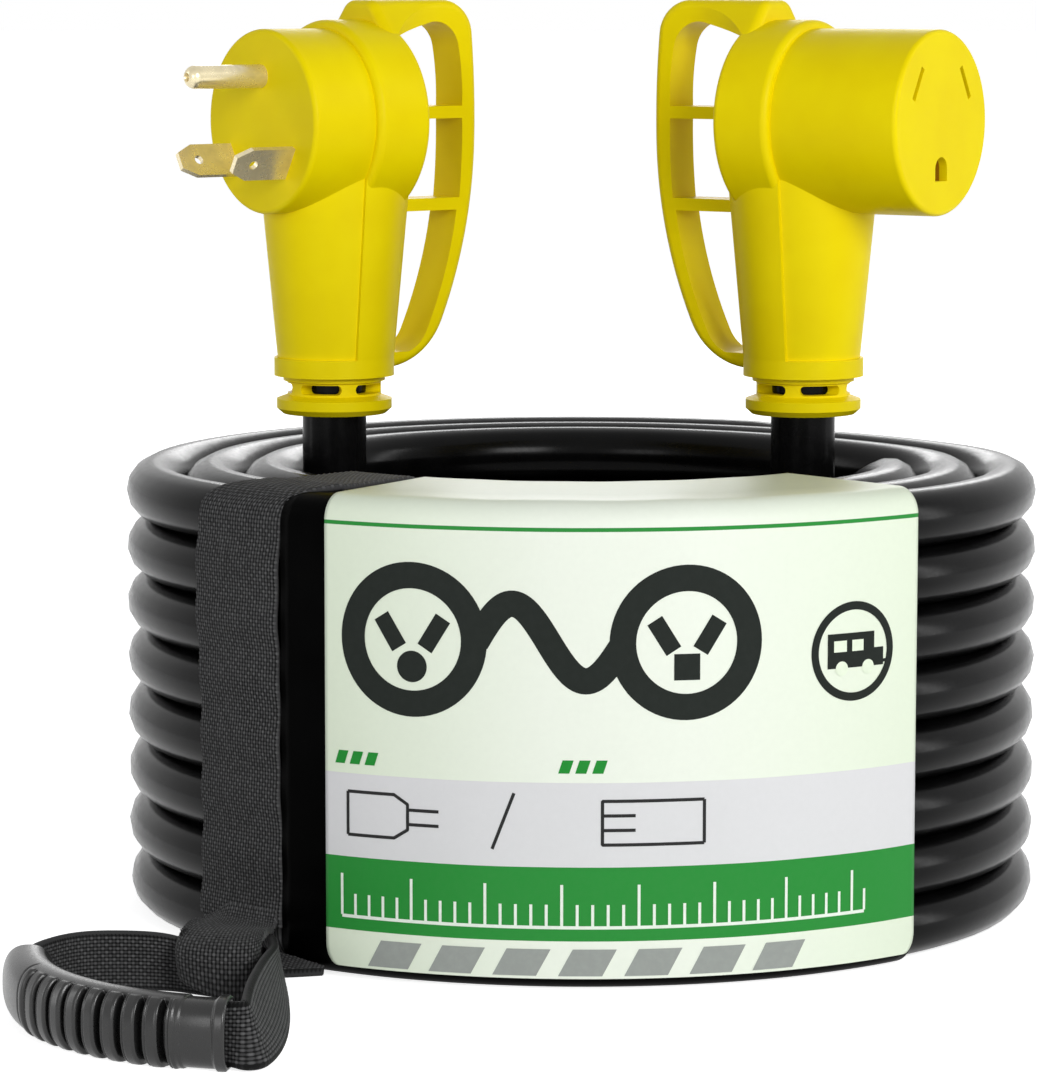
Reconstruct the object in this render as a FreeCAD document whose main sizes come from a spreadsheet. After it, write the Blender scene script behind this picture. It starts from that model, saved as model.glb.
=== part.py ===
"""Shore power cord for a caravan: a coiled three-core cable with a plug and a
receptacle, each in a right-angle head with a D-shaped pulling grip, tied up by
a wrap, a label card and a webbing strap with a carry handle.

Frame: origin on the floor at the axis of the coil, +Z up, the label faces -Y.
Each head is drawn in its own frame, with the barrel along +X, the neck along
-Z and the barrel's centre at the origin, and is then turned and lifted.
"""
import FreeCAD, Part
import math
import os
import Sketcher

from FreeCAD import Placement, Rotation, Vector

# ---------------------------------------------------------------- dimensions
DIMENSIONS = [
    # cable and coil
    ("cable_dia", 16.5), ("coil_levels", 8), ("coil_layers", 3), ("layer_pitch", 17.0),
    ("coil_radius", 126.6), ("lobe_depth", 3.0), ("lobe_bulge", 12.8), ("lead_end_z", -60.0),
    ("inner_turn_radius", 76.6),
    # the tie of the bundle
    ("wrap_thickness", 2.2), ("wrap_gap", 0.2), ("wrap_start", -37.0), ("wrap_end", 42.5),
    ("strap_start", -52.3), ("strap_end", -37.3), ("wrap_corner", 6.0),
    ("label_thickness", 0.8), ("label_gap", 0.15), ("label_start", -31.2), ("label_end", 42.3),
    ("label_inner_radius", 90.0), ("label_foot", 4.0),
    # where the heads stand
    ("plug_x", -73.4), ("socket_x", 66.0), ("heads_y", 0.0), ("heads_z", 232.0),
    ("plug_turn", -140.8), ("socket_turn", -33.7),
    # head shells
    ("barrel_radius", 27.0), ("rear_radius", 29.5), ("seam_x", 4.2), ("rear_x", -14.4),
    ("plug_face_x", 25.9), ("socket_face_x", 46.0), ("face_round", 1.4), ("seam_round", 2.2),
    ("neck_top_z", -12.0), ("neck_top_radius", 23.2), ("neck_end_z", -70.0),
    ("neck_end_radius", 17.8), ("neck_recess", 1.0), ("band_end_z", -75.4),
    ("wall", 4.0), ("skin", 2.6), ("core_room_radius", 9.8), ("core_room_top_radius", 16.5),
    ("carrier_radius", 21.5),
    # pulling grip
    ("grip_width", 13.0), ("grip_top_z", 35.2), ("grip_back", 49.2), ("grip_rail", 6.0),
    ("rib_high_z", 1.8), ("rib_low_z", -25.6), ("rib_thickness", 3.7),
    ("grip_edge_round", 2.6), ("rear_round", 2.0),
    # its outer line, as distances in from its back, down from its top, and heights
    ("rim_top_in", 11.7), ("rim_corner_in", 1.0), ("rim_corner_drop", 9.8),
    ("rim_back_z", -6.0), ("rim_heel_in", 12.6), ("rim_heel_z", -60.5),
    ("rim_foot_in", 33.47), ("grip_foot_z", -73.9),
    # its gaps, as distances in from the rail's inner side, drops and heights
    ("gap_front_x", -12.0), ("gap_front_drop", 10.8), ("gap_peak_in", 12.0),
    ("gap_peak_drop", 6.6), ("gap_corner_in", 1.3), ("gap_corner_drop", 13.7),
    ("gap_mid_bulge", 200.0), ("gap_mid_in", 1.1), ("gap_low_in", 2.2),
    ("gap_heel_in", 13.6), ("gap_heel_z", -63.4), ("gap_foot_in", 20.2),
    ("gap_foot_x", -10.0), ("gap_foot_z", -69.2),
    # sections of the arch that joins the grip to the barrel
    ("arch_front", -9.0), ("arch_foot_z", 20.0), ("arch_front_round", 2.6),
    ("arch_mid_x", -25.0), ("arch_mid_half", 8.5), ("arch_mid_side_z", 31.9),
    ("arch_mid_shoulder_y", 6.96), ("arch_mid_shoulder_z", 33.77), ("arch_mid_round", 4.0),
    ("arch_wide_x", -13.0), ("arch_wide_half", 15.0), ("arch_wide_side_z", 25.4),
    ("arch_wide_shoulder_y", 7.86), ("arch_wide_shoulder_z", 33.52), ("arch_wide_round", 5.5),
    # strain relief
    ("relief_height", 11.3), ("relief_lip_radius", 15.1), ("relief_neck_radius", 13.9),
    ("relief_ring_radius", 17.1), ("relief_foot_radius", 15.3), ("relief_slots", 5),
    ("relief_slot_angle", 54.0), ("relief_slot_height", 2.9), ("sleeve_dia", 19.0),
    ("sleeve_below", 30.0),
    # contacts
    ("blade_width", 10.2), ("blade_thickness", 1.6), ("blade_out", 19.6), ("blade_in", 14.0),
    ("blade_chamfer_long", 5.0), ("blade_chamfer_side", 2.5), ("blade_hole_dia", 2.8),
    ("blade_hole_back", 6.5), ("blade_tilt", 30.0), ("blade_side", 13.8), ("blade_drop", 11.5),
    ("pin_dia", 6.8), ("shank_dia", 5.6), ("pin_out", 26.2), ("ground_rise", 13.3),
    ("slot_length", 10.6), ("slot_gap", 1.8), ("slot_depth", 24.0), ("leaf_thickness", 0.9),
    ("contact_back", 9.0), ("ground_hole_dia", 7.0), ("ground_wall", 0.9),
    # wiring
    ("core_dia", 4.4), ("crimp_dia", 6.2), ("crimp_length", 8.0), ("core_drop_x", -5.5),
    ("core_spread", 4.8), ("core_turn_x", -7.5), ("core_join_z", -36.0),
    # carry handle
    ("handle_x", -77.1), ("handle_y", -157.4), ("handle_radius", 70.0),
    ("handle_web_height", 16.0), ("handle_web_thickness", 4.0), ("handle_mid_z", 9.2),
    ("rubber_start", 9.8), ("rubber_sweep", 75.0), ("rubber_height", 18.0),
    ("rubber_depth", 13.0), ("rubber_ribs", 9), ("rubber_rib_sweep", 3.6),
    ("rubber_rib_rise", 0.9), ("rubber_plain", 16.0),
]

doc = FreeCAD.newDocument("shore_power_cord")
sheet = doc.addObject("Spreadsheet::Sheet", "dims")
for row, (alias, value) in enumerate(DIMENSIONS, start=1):
    sheet.set("A%d" % row, alias)
    sheet.set("B%d" % row, str(value))
    sheet.setAlias("B%d" % row, alias)
doc.recompute()


class Size:
    """A size that carries its number and the sheet expression it comes from."""

    def __init__(self, number, text):
        self.number = float(number)
        self.text = text

    @staticmethod
    def of(other):
        return other if isinstance(other, Size) else Size(other, repr(float(other)))

    def joined(self, other, sign, number):
        return Size(number, "(%s%s%s)" % (self.text, sign, other.text))

    def __add__(self, other):
        other = Size.of(other)
        return self.joined(other, "+", self.number + other.number)

    def __sub__(self, other):
        other = Size.of(other)
        return self.joined(other, "-", self.number - other.number)

    def __mul__(self, other):
        other = Size.of(other)
        return self.joined(other, "*", self.number * other.number)

    def __truediv__(self, other):
        other = Size.of(other)
        return self.joined(other, "/", self.number / other.number)

    def __radd__(self, other):
        return Size.of(other) + self

    def __rsub__(self, other):
        return Size.of(other) - self

    def __rmul__(self, other):
        return Size.of(other) * self

    def __neg__(self):
        return Size.of(0) - self

    def __float__(self):
        return self.number

    def __int__(self):
        return int(self.number)


DIM = {alias: Size(value, "dims." + alias) for alias, value in DIMENSIONS}


def bind(item, name, size):
    """Set a property from the sheet."""
    item.setExpression(name, Size.of(size).text)


# ------------------------------------------------------------ sketch helpers
def origin_item(body, role):
    return [item for item in body.Origin.OriginFeatures if item.Role == role][0]


def arc_between(start, end, radius):
    """Arc of a signed radius, and which of its two ends comes first.

    A positive radius bulges to the right of the way from start to end. A sketch's arcs
    always run anticlockwise, so one that bulges to the left is drawn from its end.
    """
    half = (end - start) * 0.5
    across = Vector(half.y, -half.x, 0).normalize()
    side = 1 if radius > 0 else -1
    height = math.sqrt(max(radius * radius - half.Length ** 2, 0.0))
    centre = start + half - across * (side * height)
    first, last = (start, end) if side > 0 else (end, start)
    angles = [math.atan2(point.y - centre.y, point.x - centre.x) for point in (first, last)]
    circle = Part.Circle(centre, Vector(0, 0, 1), abs(radius))
    return Part.ArcOfCircle(circle, angles[0], angles[1]), ((1, 2) if side > 0 else (2, 1))


def outline(body, name, plane, corners):
    """Closed sketch through corners (x, y), or (x, y, radius of the edge that follows)."""
    sketch = body.newObject("Sketcher::SketchObject", name)
    sketch.AttachmentSupport = [(origin_item(body, plane), "")]
    sketch.MapMode = "FlatFace"
    places = [Vector(float(Size.of(c[0])), float(Size.of(c[1])), 0) for c in corners]
    ends = []
    for index, corner in enumerate(corners):
        start, end = places[index], places[(index + 1) % len(places)]
        edge, order = Part.LineSegment(start, end), (1, 2)
        if len(corner) == 3:
            edge, order = arc_between(start, end, float(Size.of(corner[2])))
        sketch.addGeometry(edge, False)
        ends.append(order)
    for index in range(len(corners)):
        follower = (index + 1) % len(corners)
        sketch.addConstraint(Sketcher.Constraint(
            "Coincident", index, ends[index][1], follower, ends[follower][0]))
    for index, corner in enumerate(corners):
        rules = [("DistanceX", corner[0]), ("DistanceY", corner[1])]
        for kind, value in rules:
            value = Size.of(value)
            number = sketch.addConstraint(Sketcher.Constraint(
                kind, -1, 1, index, ends[index][0], float(value)))
            sketch.setExpression("Constraints[%d]" % number, value.text)
        if len(corner) == 3:
            value = Size.of(corner[2])
            value = value if float(value) > 0 else -value
            number = sketch.addConstraint(Sketcher.Constraint("Radius", index, float(value)))
            sketch.setExpression("Constraints[%d]" % number, value.text)
    return sketch


def tangent_arcs(heading, places):
    """Corners of a chain of arcs, each leaving the way the last one came in.

    The heading is that of the first arc's start, in degrees. The last place ends the
    chain and isn't among the corners.
    """
    corners = []
    for start, end in zip(places[:-1], places[1:]):
        run = [float(Size.of(end[axis])) - float(Size.of(start[axis])) for axis in (0, 1)]
        chord = math.degrees(math.atan2(run[1], run[0]))
        turn = (chord - heading + 180) % 360 - 180
        radius = math.hypot(*run) / 2 / math.sin(math.radians(turn))
        corners.append((start[0], start[1], round(radius, 6)))
        heading += 2 * turn
    return corners


# ----------------------------------------------------------- feature helpers
PARTS = []


def new_body(label):
    body = doc.addObject("PartDesign::Body", label)
    body.Label = label
    PARTS.append(body)
    return body


def pad(body, sketch, length):
    """Pad to both sides of the sketch."""
    feature = body.newObject("PartDesign::Pad", sketch.Name + "_pad")
    feature.Profile = sketch
    feature.SideType = "Symmetric"
    bind(feature, "Length", length)
    return feature


def pocket(body, sketch):
    """Cut through everything to both sides of the sketch."""
    before = settled_volume(body)
    feature = body.newObject("PartDesign::Pocket", sketch.Name + "_pocket")
    feature.Profile = sketch
    feature.SideType = "Symmetric"
    feature.Type = "ThroughAll"
    check_cut(body, before, feature)
    return feature


def revolve(body, sketch, axis, angle=360, cut=False):
    before = settled_volume(body) if cut else 0
    kind = "Groove" if cut else "Revolution"
    feature = body.newObject("PartDesign::" + kind, sketch.Name + "_turned")
    feature.Profile = sketch
    feature.ReferenceAxis = (sketch, [axis])
    feature.Midplane = True
    bind(feature, "Angle", angle)
    if cut:
        check_cut(body, before, feature)
    return feature


def primitive(body, kind, place, **sizes):
    """Additive or Subtractive Box, Cylinder or Cone of bound sizes."""
    before = settled_volume(body) if kind.startswith("Subtractive") else 0
    feature = body.newObject("PartDesign::" + kind, kind)
    for name, size in sizes.items():
        bind(feature, name, size)
    feature.Placement = place
    if before:
        check_cut(body, before, feature)
    return feature


def settled_volume(body):
    doc.recompute()
    return body.Tip.Shape.Volume


def check_cut(body, before, feature):
    doc.recompute()
    if not body.Tip.Shape.Volume < before - 1e-3:
        raise RuntimeError(body.Label + ": " + feature.Name + " cut nothing")


def fillet(body, radius, chosen, kind="Fillet"):
    """Round or chamfer the edges of the tip whose middle point passes the test."""
    doc.recompute()
    base = body.Tip
    names = []
    for number, edge in enumerate(base.Shape.Edges, start=1):
        middle = edge.valueAt((edge.FirstParameter + edge.LastParameter) / 2)
        if chosen(middle, edge):
            names.append("Edge%d" % number)
    if not names:
        raise RuntimeError(body.Label + ": no edge to round")
    feature = body.newObject("PartDesign::" + kind, kind)
    feature.Base = (base, names)
    bind(feature, "Radius" if kind == "Fillet" else "Size", radius)
    return feature


def at(x=0.0, y=0.0, z=0.0, rotation=None):
    return Placement(Vector(float(x), float(y), float(z)), rotation or Rotation())


ALONG_X = Rotation(Vector(0, 1, 0), 90)


def turned(angle):
    return Rotation(Vector(1, 0, 0), angle)


def head_place(name):
    """Place of a head's own frame in the frame of the whole cord."""
    turn = Rotation(Vector(0, 0, 1), float(DIM[name + "_turn"]))
    return at(DIM[name + "_x"], DIM["heads_y"], DIM["heads_z"], turn)


# --------------------------------------------------------------- head shells
def neck_profile(body, recess):
    top = DIM["neck_top_radius"] - recess
    end = DIM["neck_end_radius"] - recess
    return outline(body, "neck", "XZ_Plane", [
        (0, DIM["neck_end_z"]), (end, DIM["neck_end_z"]),
        (top, DIM["neck_top_z"]), (0, DIM["neck_top_z"])])


def half_space(body, inner, outer):
    """Cutting rectangle over one side of the seam plane."""
    reach = 40
    return outline(body, "seam_side", "XY_Plane", [
        (inner, -reach), (outer, -reach), (outer, reach), (inner, reach)])


def core_room(body, face_x):
    """Hollow for the carrier, the cores and the end of the cable's jacket."""
    start = DIM["rear_x"] + DIM["wall"]
    primitive(body, "SubtractiveCylinder", at(start, rotation=ALONG_X),
              Radius=DIM["carrier_radius"], Height=face_x - DIM["skin"] - start)
    primitive(body, "SubtractiveCone", at(z=DIM["lead_end_z"]), Radius1=DIM["core_room_radius"],
              Radius2=DIM["core_room_top_radius"], Height=DIM["neck_top_z"] - DIM["lead_end_z"])


def front_shell(name, face_x):
    """Front moulding: the barrel's front and the front of the neck, one seam plane."""
    body = new_body(name + "_body")
    revolve(body, neck_profile(body, DIM["neck_recess"]), "V_Axis")
    pocket(body, half_space(body, -40, DIM["seam_x"]))
    barrel = outline(body, "barrel", "XZ_Plane", [
        (DIM["seam_x"], 0), (face_x, 0), (face_x, DIM["barrel_radius"]),
        (DIM["seam_x"], DIM["barrel_radius"])])
    revolve(body, barrel, "H_Axis")
    fillet(body, DIM["face_round"], lambda middle, edge: middle.x > float(face_x) - 0.01)
    core_room(body, face_x)
    primitive(body, "SubtractiveCylinder", at(z=DIM["band_end_z"]), Radius=DIM["cable_dia"] / 2,
              Height=DIM["lead_end_z"] - DIM["band_end_z"])
    body.Placement = head_place(name)
    return body


def grip_plate(body):
    """D-shaped grip seen from its side: a plate with a rounded rim and finger gaps."""
    top, back, foot = DIM["grip_top_z"], DIM["grip_back"], DIM["grip_foot_z"]
    rim = tangent_arcs(180, [
        (DIM["rim_top_in"] - back, top),
        (DIM["rim_corner_in"] - back, top - DIM["rim_corner_drop"]),
        (-back, DIM["rim_back_z"]), (DIM["rim_heel_in"] - back, DIM["rim_heel_z"]),
        (DIM["rim_foot_in"] - back, foot)])
    plate = outline(body, "grip_side", "XZ_Plane", [
        (0, foot), (0, DIM["arch_foot_z"]), (DIM["rim_top_in"] - back, DIM["arch_foot_z"]),
        *rim, (DIM["rim_foot_in"] - back, foot)])
    pad(body, plate, DIM["grip_width"])
    fillet(body, DIM["grip_edge_round"], lambda middle, edge: on_grip_rim(middle))
    grip_arch(body)
    for number, corners in enumerate(finger_gaps()):
        pocket(body, outline(body, "finger_gap_%d" % number, "XZ_Plane", corners))


def finger_gaps():
    """Corners of the three gaps between the rail, the two ribs and the head."""
    top, inner = DIM["grip_top_z"], DIM["grip_rail"] - DIM["grip_back"]
    half = DIM["rib_thickness"] / 2
    high, high_under = DIM["rib_high_z"] + half, DIM["rib_high_z"] - half
    low, low_under = DIM["rib_low_z"] + half, DIM["rib_low_z"] - half
    front, foot, foot_z = DIM["gap_front_x"], DIM["gap_foot_x"], DIM["gap_foot_z"]
    upper = tangent_arcs(167.7, [
        (DIM["gap_peak_in"] + inner, top - DIM["gap_peak_drop"]),
        (DIM["gap_corner_in"] + inner, top - DIM["gap_corner_drop"]), (inner, high)])
    lower = tangent_arcs(279, [
        (DIM["gap_low_in"] + inner, low_under),
        (DIM["gap_heel_in"] + inner, DIM["gap_heel_z"]),
        (DIM["gap_foot_in"] + inner, foot_z)])
    return [
        [(front, high), (front, top - DIM["gap_front_drop"]), *upper, (inner, high)],
        [(front, low), (front, high_under), (inner, high_under, DIM["gap_mid_bulge"]),
         (DIM["gap_mid_in"] + inner, low)],
        [(foot, foot_z), (foot, low_under), *lower, (DIM["gap_foot_in"] + inner, foot_z)],
    ]


def arch_section(body, name, x, half, side_z, shoulder, rounds):
    """Upright section of the arch: flat on top, rolling down over its two shoulders."""
    foot, top = DIM["arch_foot_z"], DIM["grip_top_z"]
    flat = DIM["grip_width"] / 2 - DIM["grip_edge_round"]
    y, z = shoulder
    under, over = rounds
    sketch = outline(body, name, "YZ_Plane", [
        (-half, foot), (half, foot), (half, side_z, *under), (y, z, over), (flat, top),
        (-flat, top, over), (-y, z, *under), (-half, side_z)])
    sketch.AttachmentOffset = at(z=x)
    return sketch


def grip_arch(body):
    """The grip's top spreads sideways and rolls down as it meets the barrel."""
    half, bulge, top = DIM["grip_width"] / 2, DIM["grip_edge_round"], DIM["grip_top_z"]
    eighth = math.sqrt(0.5)
    rail = arch_section(body, "arch_rail", DIM["rim_top_in"] - DIM["grip_back"], half,
                        top - bulge, (half - bulge * (1 - eighth), top - bulge * (1 - eighth)),
                        ((bulge,), bulge))
    middle, wide, end = (arch_section(
        body, "arch_" + name, DIM["arch_%s_x" % kind], DIM["arch_%s_half" % kind],
        DIM["arch_%s_side_z" % kind],
        (DIM["arch_%s_shoulder_y" % kind], DIM["arch_%s_shoulder_z" % kind]),
        ((), DIM["arch_%s_round" % kind]))
        for name, kind in (("middle", "mid"), ("wide", "wide"), ("end", "wide")))
    loft = body.newObject("PartDesign::AdditiveLoft", "arch")
    loft.Profile = rail
    loft.Sections = [middle, wide]
    doc.recompute()
    front = body.newObject("PartDesign::Pad", "arch_front")
    front.Profile = end
    bind(front, "Length", DIM["arch_front"] - DIM["arch_wide_x"])
    fillet(body, DIM["arch_front_round"], lambda place, edge: (
        place.x > float(DIM["arch_front"]) - 0.01
        and place.z > float(DIM["arch_wide_side_z"]) - 0.05))


def on_grip_rim(middle):
    """Edges of the grip's outer side: down its back and under its foot."""
    side = abs(middle.y) > float(DIM["grip_width"] / 2) - 0.1
    return side and (middle.x < -42.5 or (middle.z < -50 and middle.x < -7))


def grip_shell(name, face_x):
    """Rear moulding: the barrel's rear, the neck's back, the end band and the grip."""
    body = new_body(name + "_grip_shell")
    grip_plate(body)
    revolve(body, rear_neck(body), "V_Axis")
    front = outline(body, "front_side", "XZ_Plane", [
        (DIM["seam_x"], DIM["neck_end_z"]), (40, DIM["neck_end_z"]), (40, 0),
        (DIM["seam_x"], 0)])
    pocket(body, front)
    barrel = outline(body, "rear_barrel", "XZ_Plane", [
        (DIM["rear_x"], 0), (DIM["seam_x"], 0), (DIM["seam_x"], DIM["rear_radius"]),
        (DIM["rear_x"] + DIM["rear_round"], DIM["rear_radius"], DIM["rear_round"]),
        (DIM["rear_x"], DIM["rear_radius"] - DIM["rear_round"])])
    revolve(body, barrel, "H_Axis")
    fillet(body, DIM["seam_round"], lambda middle, edge: is_seam_rim(middle, edge))
    core_room(body, face_x)
    primitive(body, "SubtractiveCylinder", at(z=DIM["band_end_z"]), Radius=DIM["cable_dia"] / 2,
              Height=DIM["lead_end_z"] - DIM["band_end_z"])
    body.Placement = head_place(name)
    return body


def rear_neck(body):
    top, end = DIM["neck_top_radius"], DIM["neck_end_radius"]
    return outline(body, "neck", "XZ_Plane", [
        (0, DIM["band_end_z"]), (end, DIM["band_end_z"]), (end, DIM["neck_end_z"]),
        (top, DIM["neck_top_z"]), (0, DIM["neck_top_z"])])


def is_seam_rim(middle, edge):
    """The rim of the rear barrel where it steps down to the front one."""
    return abs(middle.x - float(DIM["seam_x"])) < 0.01 and edge.Length > 60 and (
        math.hypot(middle.y, middle.z) > float(DIM["rear_radius"]) - 0.1)


def strain_relief(name):
    """Slotted collar under the neck, bored for the cable's sleeve, one slot at the back."""
    body = new_body(name + "_strain_relief")
    top = DIM["band_end_z"]
    foot = top - DIM["relief_height"]
    lip, neck = DIM["relief_lip_radius"], DIM["relief_neck_radius"]
    ring, bore = DIM["relief_ring_radius"], DIM["sleeve_dia"] / 2
    sketch = outline(body, "collar", "XZ_Plane", [
        (bore, foot), (DIM["relief_foot_radius"], foot), (ring, foot + 1.6), (ring, foot + 4.4),
        (neck, foot + 5.6), (neck, top - 1.9), (lip, top - 1.5), (lip, top), (bore, top)])
    revolve(body, sketch, "V_Axis")
    slot_foot = foot + 6.2
    slot = outline(body, "slot", "XZ_Plane", [
        (bore - 1, slot_foot), (ring, slot_foot), (ring, slot_foot + DIM["relief_slot_height"]),
        (bore - 1, slot_foot + DIM["relief_slot_height"])])
    slot.AttachmentOffset = Placement(Vector(), Rotation(Vector(0, 1, 0), 180))
    groove = revolve(body, slot, "V_Axis", DIM["relief_slot_angle"], cut=True)
    pattern = body.newObject("PartDesign::PolarPattern", "slots")
    pattern.Originals = [groove]
    pattern.Axis = (slot, ["V_Axis"])
    bind(pattern, "Occurrences", DIM["relief_slots"])
    body.Tip = pattern
    fillet(body, DIM["relief_slot_height"] / 2 - 0.05,
           lambda middle, edge: is_slot_corner(middle, edge))
    body.Placement = head_place(name)
    return body


def is_slot_corner(middle, edge):
    """The short edges that run outwards at the ends of the collar's slots."""
    bore, neck = float(DIM["sleeve_dia"]) / 2, float(DIM["relief_neck_radius"])
    radius = math.hypot(middle.x, middle.y)
    return bore + 1 < radius < neck - 1 and abs(edge.Length - (neck - bore)) < 0.1


# ------------------------------------------------------------------ contacts
def flat_blade(label, name, side, tilt):
    body = new_body(label)
    face, half = DIM["plug_face_x"], DIM["blade_width"] / 2
    tip, cut = face + DIM["blade_out"], DIM["blade_chamfer_side"]
    back = face - DIM["blade_in"]
    long = DIM["blade_chamfer_long"]
    sketch = outline(body, "side", "XZ_Plane", [
        (back, -half), (tip - long, -half), (tip, cut - half), (tip, half - cut),
        (tip - long, half), (back, half)])
    pad(body, sketch, DIM["blade_thickness"])
    primitive(body, "SubtractiveCylinder",
              at(tip - DIM["blade_hole_back"], 5, 0, Rotation(Vector(1, 0, 0), 90)),
              Radius=DIM["blade_hole_dia"] / 2, Height=10)
    body.Placement = head_place(name) * at(0, side * DIM["blade_side"], -DIM["blade_drop"],
                                           turned(tilt))
    return body


def ground_pin(label, name):
    body = new_body(label)
    face, radius = DIM["plug_face_x"], DIM["pin_dia"] / 2
    tip = face + DIM["pin_out"]
    sketch = outline(body, "half", "XZ_Plane", [
        (face - DIM["blade_in"], 0), (tip - 1.1, 0), (tip - 1.1, 0.9), (tip, 1.3, 2.9),
        (tip - 2.6, radius), (face, radius), (face, DIM["shank_dia"] / 2),
        (face - DIM["blade_in"], DIM["shank_dia"] / 2)])
    revolve(body, sketch, "H_Axis")
    body.Placement = head_place(name) * at(z=DIM["ground_rise"])
    return body


def contact_clip(label, name, side, tilt):
    """Spring contact bent to a U: the blade slides in between its two leaves."""
    body = new_body(label)
    face, inner = DIM["socket_face_x"], DIM["slot_gap"] / 2
    outer = inner + DIM["leaf_thickness"]
    mouth, back = face - DIM["contact_back"], face - DIM["slot_depth"]
    sketch = outline(body, "leaves", "XY_Plane", [
        (back, -outer), (mouth, -outer), (mouth, -inner), (back + 1.4, -inner),
        (back + 1.4, inner), (mouth, inner), (mouth, outer), (back, outer)])
    pad(body, sketch, DIM["slot_length"])
    body.Placement = head_place(name) * at(0, side * DIM["blade_side"], DIM["blade_drop"],
                                           turned(tilt))
    return body


def ground_tube(label, name):
    body = new_body(label)
    back = DIM["socket_face_x"] - DIM["slot_depth"]
    length = DIM["slot_depth"] - DIM["contact_back"]
    hole = DIM["ground_hole_dia"] / 2
    primitive(body, "AdditiveCylinder", at(back, rotation=ALONG_X),
              Radius=hole + DIM["ground_wall"], Height=length)
    primitive(body, "SubtractiveCylinder", at(back + 1.4, rotation=ALONG_X), Radius=hole,
              Height=length)
    body.Placement = head_place(name) * at(z=-DIM["ground_rise"])
    return body


def blade_carrier(label, name):
    """Puck that the blades and the pin are moulded into, behind the plug's face."""
    body = new_body(label)
    face = DIM["plug_face_x"]
    back, front = face - DIM["blade_in"], face - DIM["skin"]
    primitive(body, "AdditiveCylinder", at(back, rotation=ALONG_X),
              Radius=DIM["carrier_radius"], Height=front - back)
    cut_plug_contacts(body, back - 5, front - back + 10)
    body.Placement = head_place(name)
    return body


def cut_plug_contacts(body, start, length):
    """Openings of the size of the blades and the pin."""
    for side in (-1, 1):
        place = at(0, side * DIM["blade_side"], -DIM["blade_drop"],
                   turned(-side * float(DIM["blade_tilt"])))
        place = place * at(start, -DIM["blade_thickness"] / 2, -DIM["blade_width"] / 2)
        primitive(body, "SubtractiveBox", place, Length=length, Width=DIM["blade_thickness"],
                  Height=DIM["blade_width"])
    primitive(body, "SubtractiveCylinder", at(start, 0, DIM["ground_rise"], ALONG_X),
              Radius=DIM["shank_dia"] / 2, Height=length)


def cut_socket_slots(body, start, length):
    """The two slots and the arched ground hole, of the size of the mating blades."""
    for side in (-1, 1):
        place = at(0, side * DIM["blade_side"], DIM["blade_drop"],
                   turned(side * float(DIM["blade_tilt"])))
        place = place * at(start, -DIM["slot_gap"] / 2, -DIM["slot_length"] / 2)
        primitive(body, "SubtractiveBox", place, Length=length, Width=DIM["slot_gap"],
                  Height=DIM["slot_length"])
    hole = DIM["ground_hole_dia"] / 2
    primitive(body, "SubtractiveCylinder", at(start, 0, -DIM["ground_rise"], ALONG_X),
              Radius=hole, Height=length)
    primitive(body, "SubtractiveBox", at(start, -hole, -DIM["ground_rise"] - hole),
              Length=length, Width=hole * 2, Height=hole)


def contact_carrier(label, name):
    """Puck that holds the socket's contacts, with slots that lead the blades in."""
    body = new_body(label)
    face = DIM["socket_face_x"]
    back, front = face - DIM["slot_depth"], face - DIM["skin"]
    primitive(body, "AdditiveCylinder", at(back, rotation=ALONG_X),
              Radius=DIM["carrier_radius"], Height=front - back)
    mouth = face - DIM["contact_back"]
    cut_socket_slots(body, mouth - 1, face - mouth)
    outer = DIM["slot_gap"] / 2 + DIM["leaf_thickness"]
    for side in (-1, 1):
        place = at(0, side * DIM["blade_side"], DIM["blade_drop"],
                   turned(side * float(DIM["blade_tilt"])))
        place = place * at(back - 1, -outer, -DIM["slot_length"] / 2)
        primitive(body, "SubtractiveBox", place, Length=mouth - back + 1, Width=outer * 2,
                  Height=DIM["slot_length"])
    primitive(body, "SubtractiveCylinder", at(back - 1, 0, -DIM["ground_rise"], ALONG_X),
              Radius=DIM["ground_hole_dia"] / 2 + DIM["ground_wall"], Height=mouth - back + 1)
    body.Placement = head_place(name)
    return body


# -------------------------------------------------------------------- wiring
def path_wire(points, radii=None):
    """Straight runs joined by tangent arcs; each arc takes 0.45 of its shorter run."""
    edges, radii = [], [] if radii is None else radii
    start = points[0]
    for before, corner, after in zip(points, points[1:], points[2:]):
        back, ahead = (before - corner), (after - corner)
        turn = math.pi - back.getAngle(ahead)
        reach = 0.45 * min(back.Length, ahead.Length)
        radii.append(reach / math.tan(turn / 2))
        back.normalize()
        ahead.normalize()
        first, last = corner + back * reach, corner + ahead * reach
        inward = (back + ahead).normalize()
        middle = corner + inward * (radii[-1] * (1 / math.cos(turn / 2) - 1))
        edges.append(Part.LineSegment(start, first).toShape())
        edges.append(Part.Arc(first, middle, last).toShape())
        start = last
    edges.append(Part.LineSegment(start, points[-1]).toShape())
    return Part.Wire(edges)


def tube(label, points, diameter):
    """Round solid along a path, checked against its section times its length."""
    radii = []
    wire = path_wire(points, radii)
    circle = Part.Circle(points[0], points[1] - points[0], diameter / 2)
    ring = Part.Wire(circle.toShape())
    solid = wire.makePipeShell([ring], True, False)
    feature = doc.addObject("Part::Feature", label)
    feature.Label = label
    feature.Shape = solid
    expected = math.pi * diameter ** 2 / 4 * wire.Length
    print("%s: length %.1f, smallest arc %.1f of %s, volume ratio %.4f" % (
        label, wire.Length, min(radii), " ".join("%.0f" % r for r in radii),
        solid.Volume / expected))
    PARTS.append(feature)
    return feature


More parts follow.
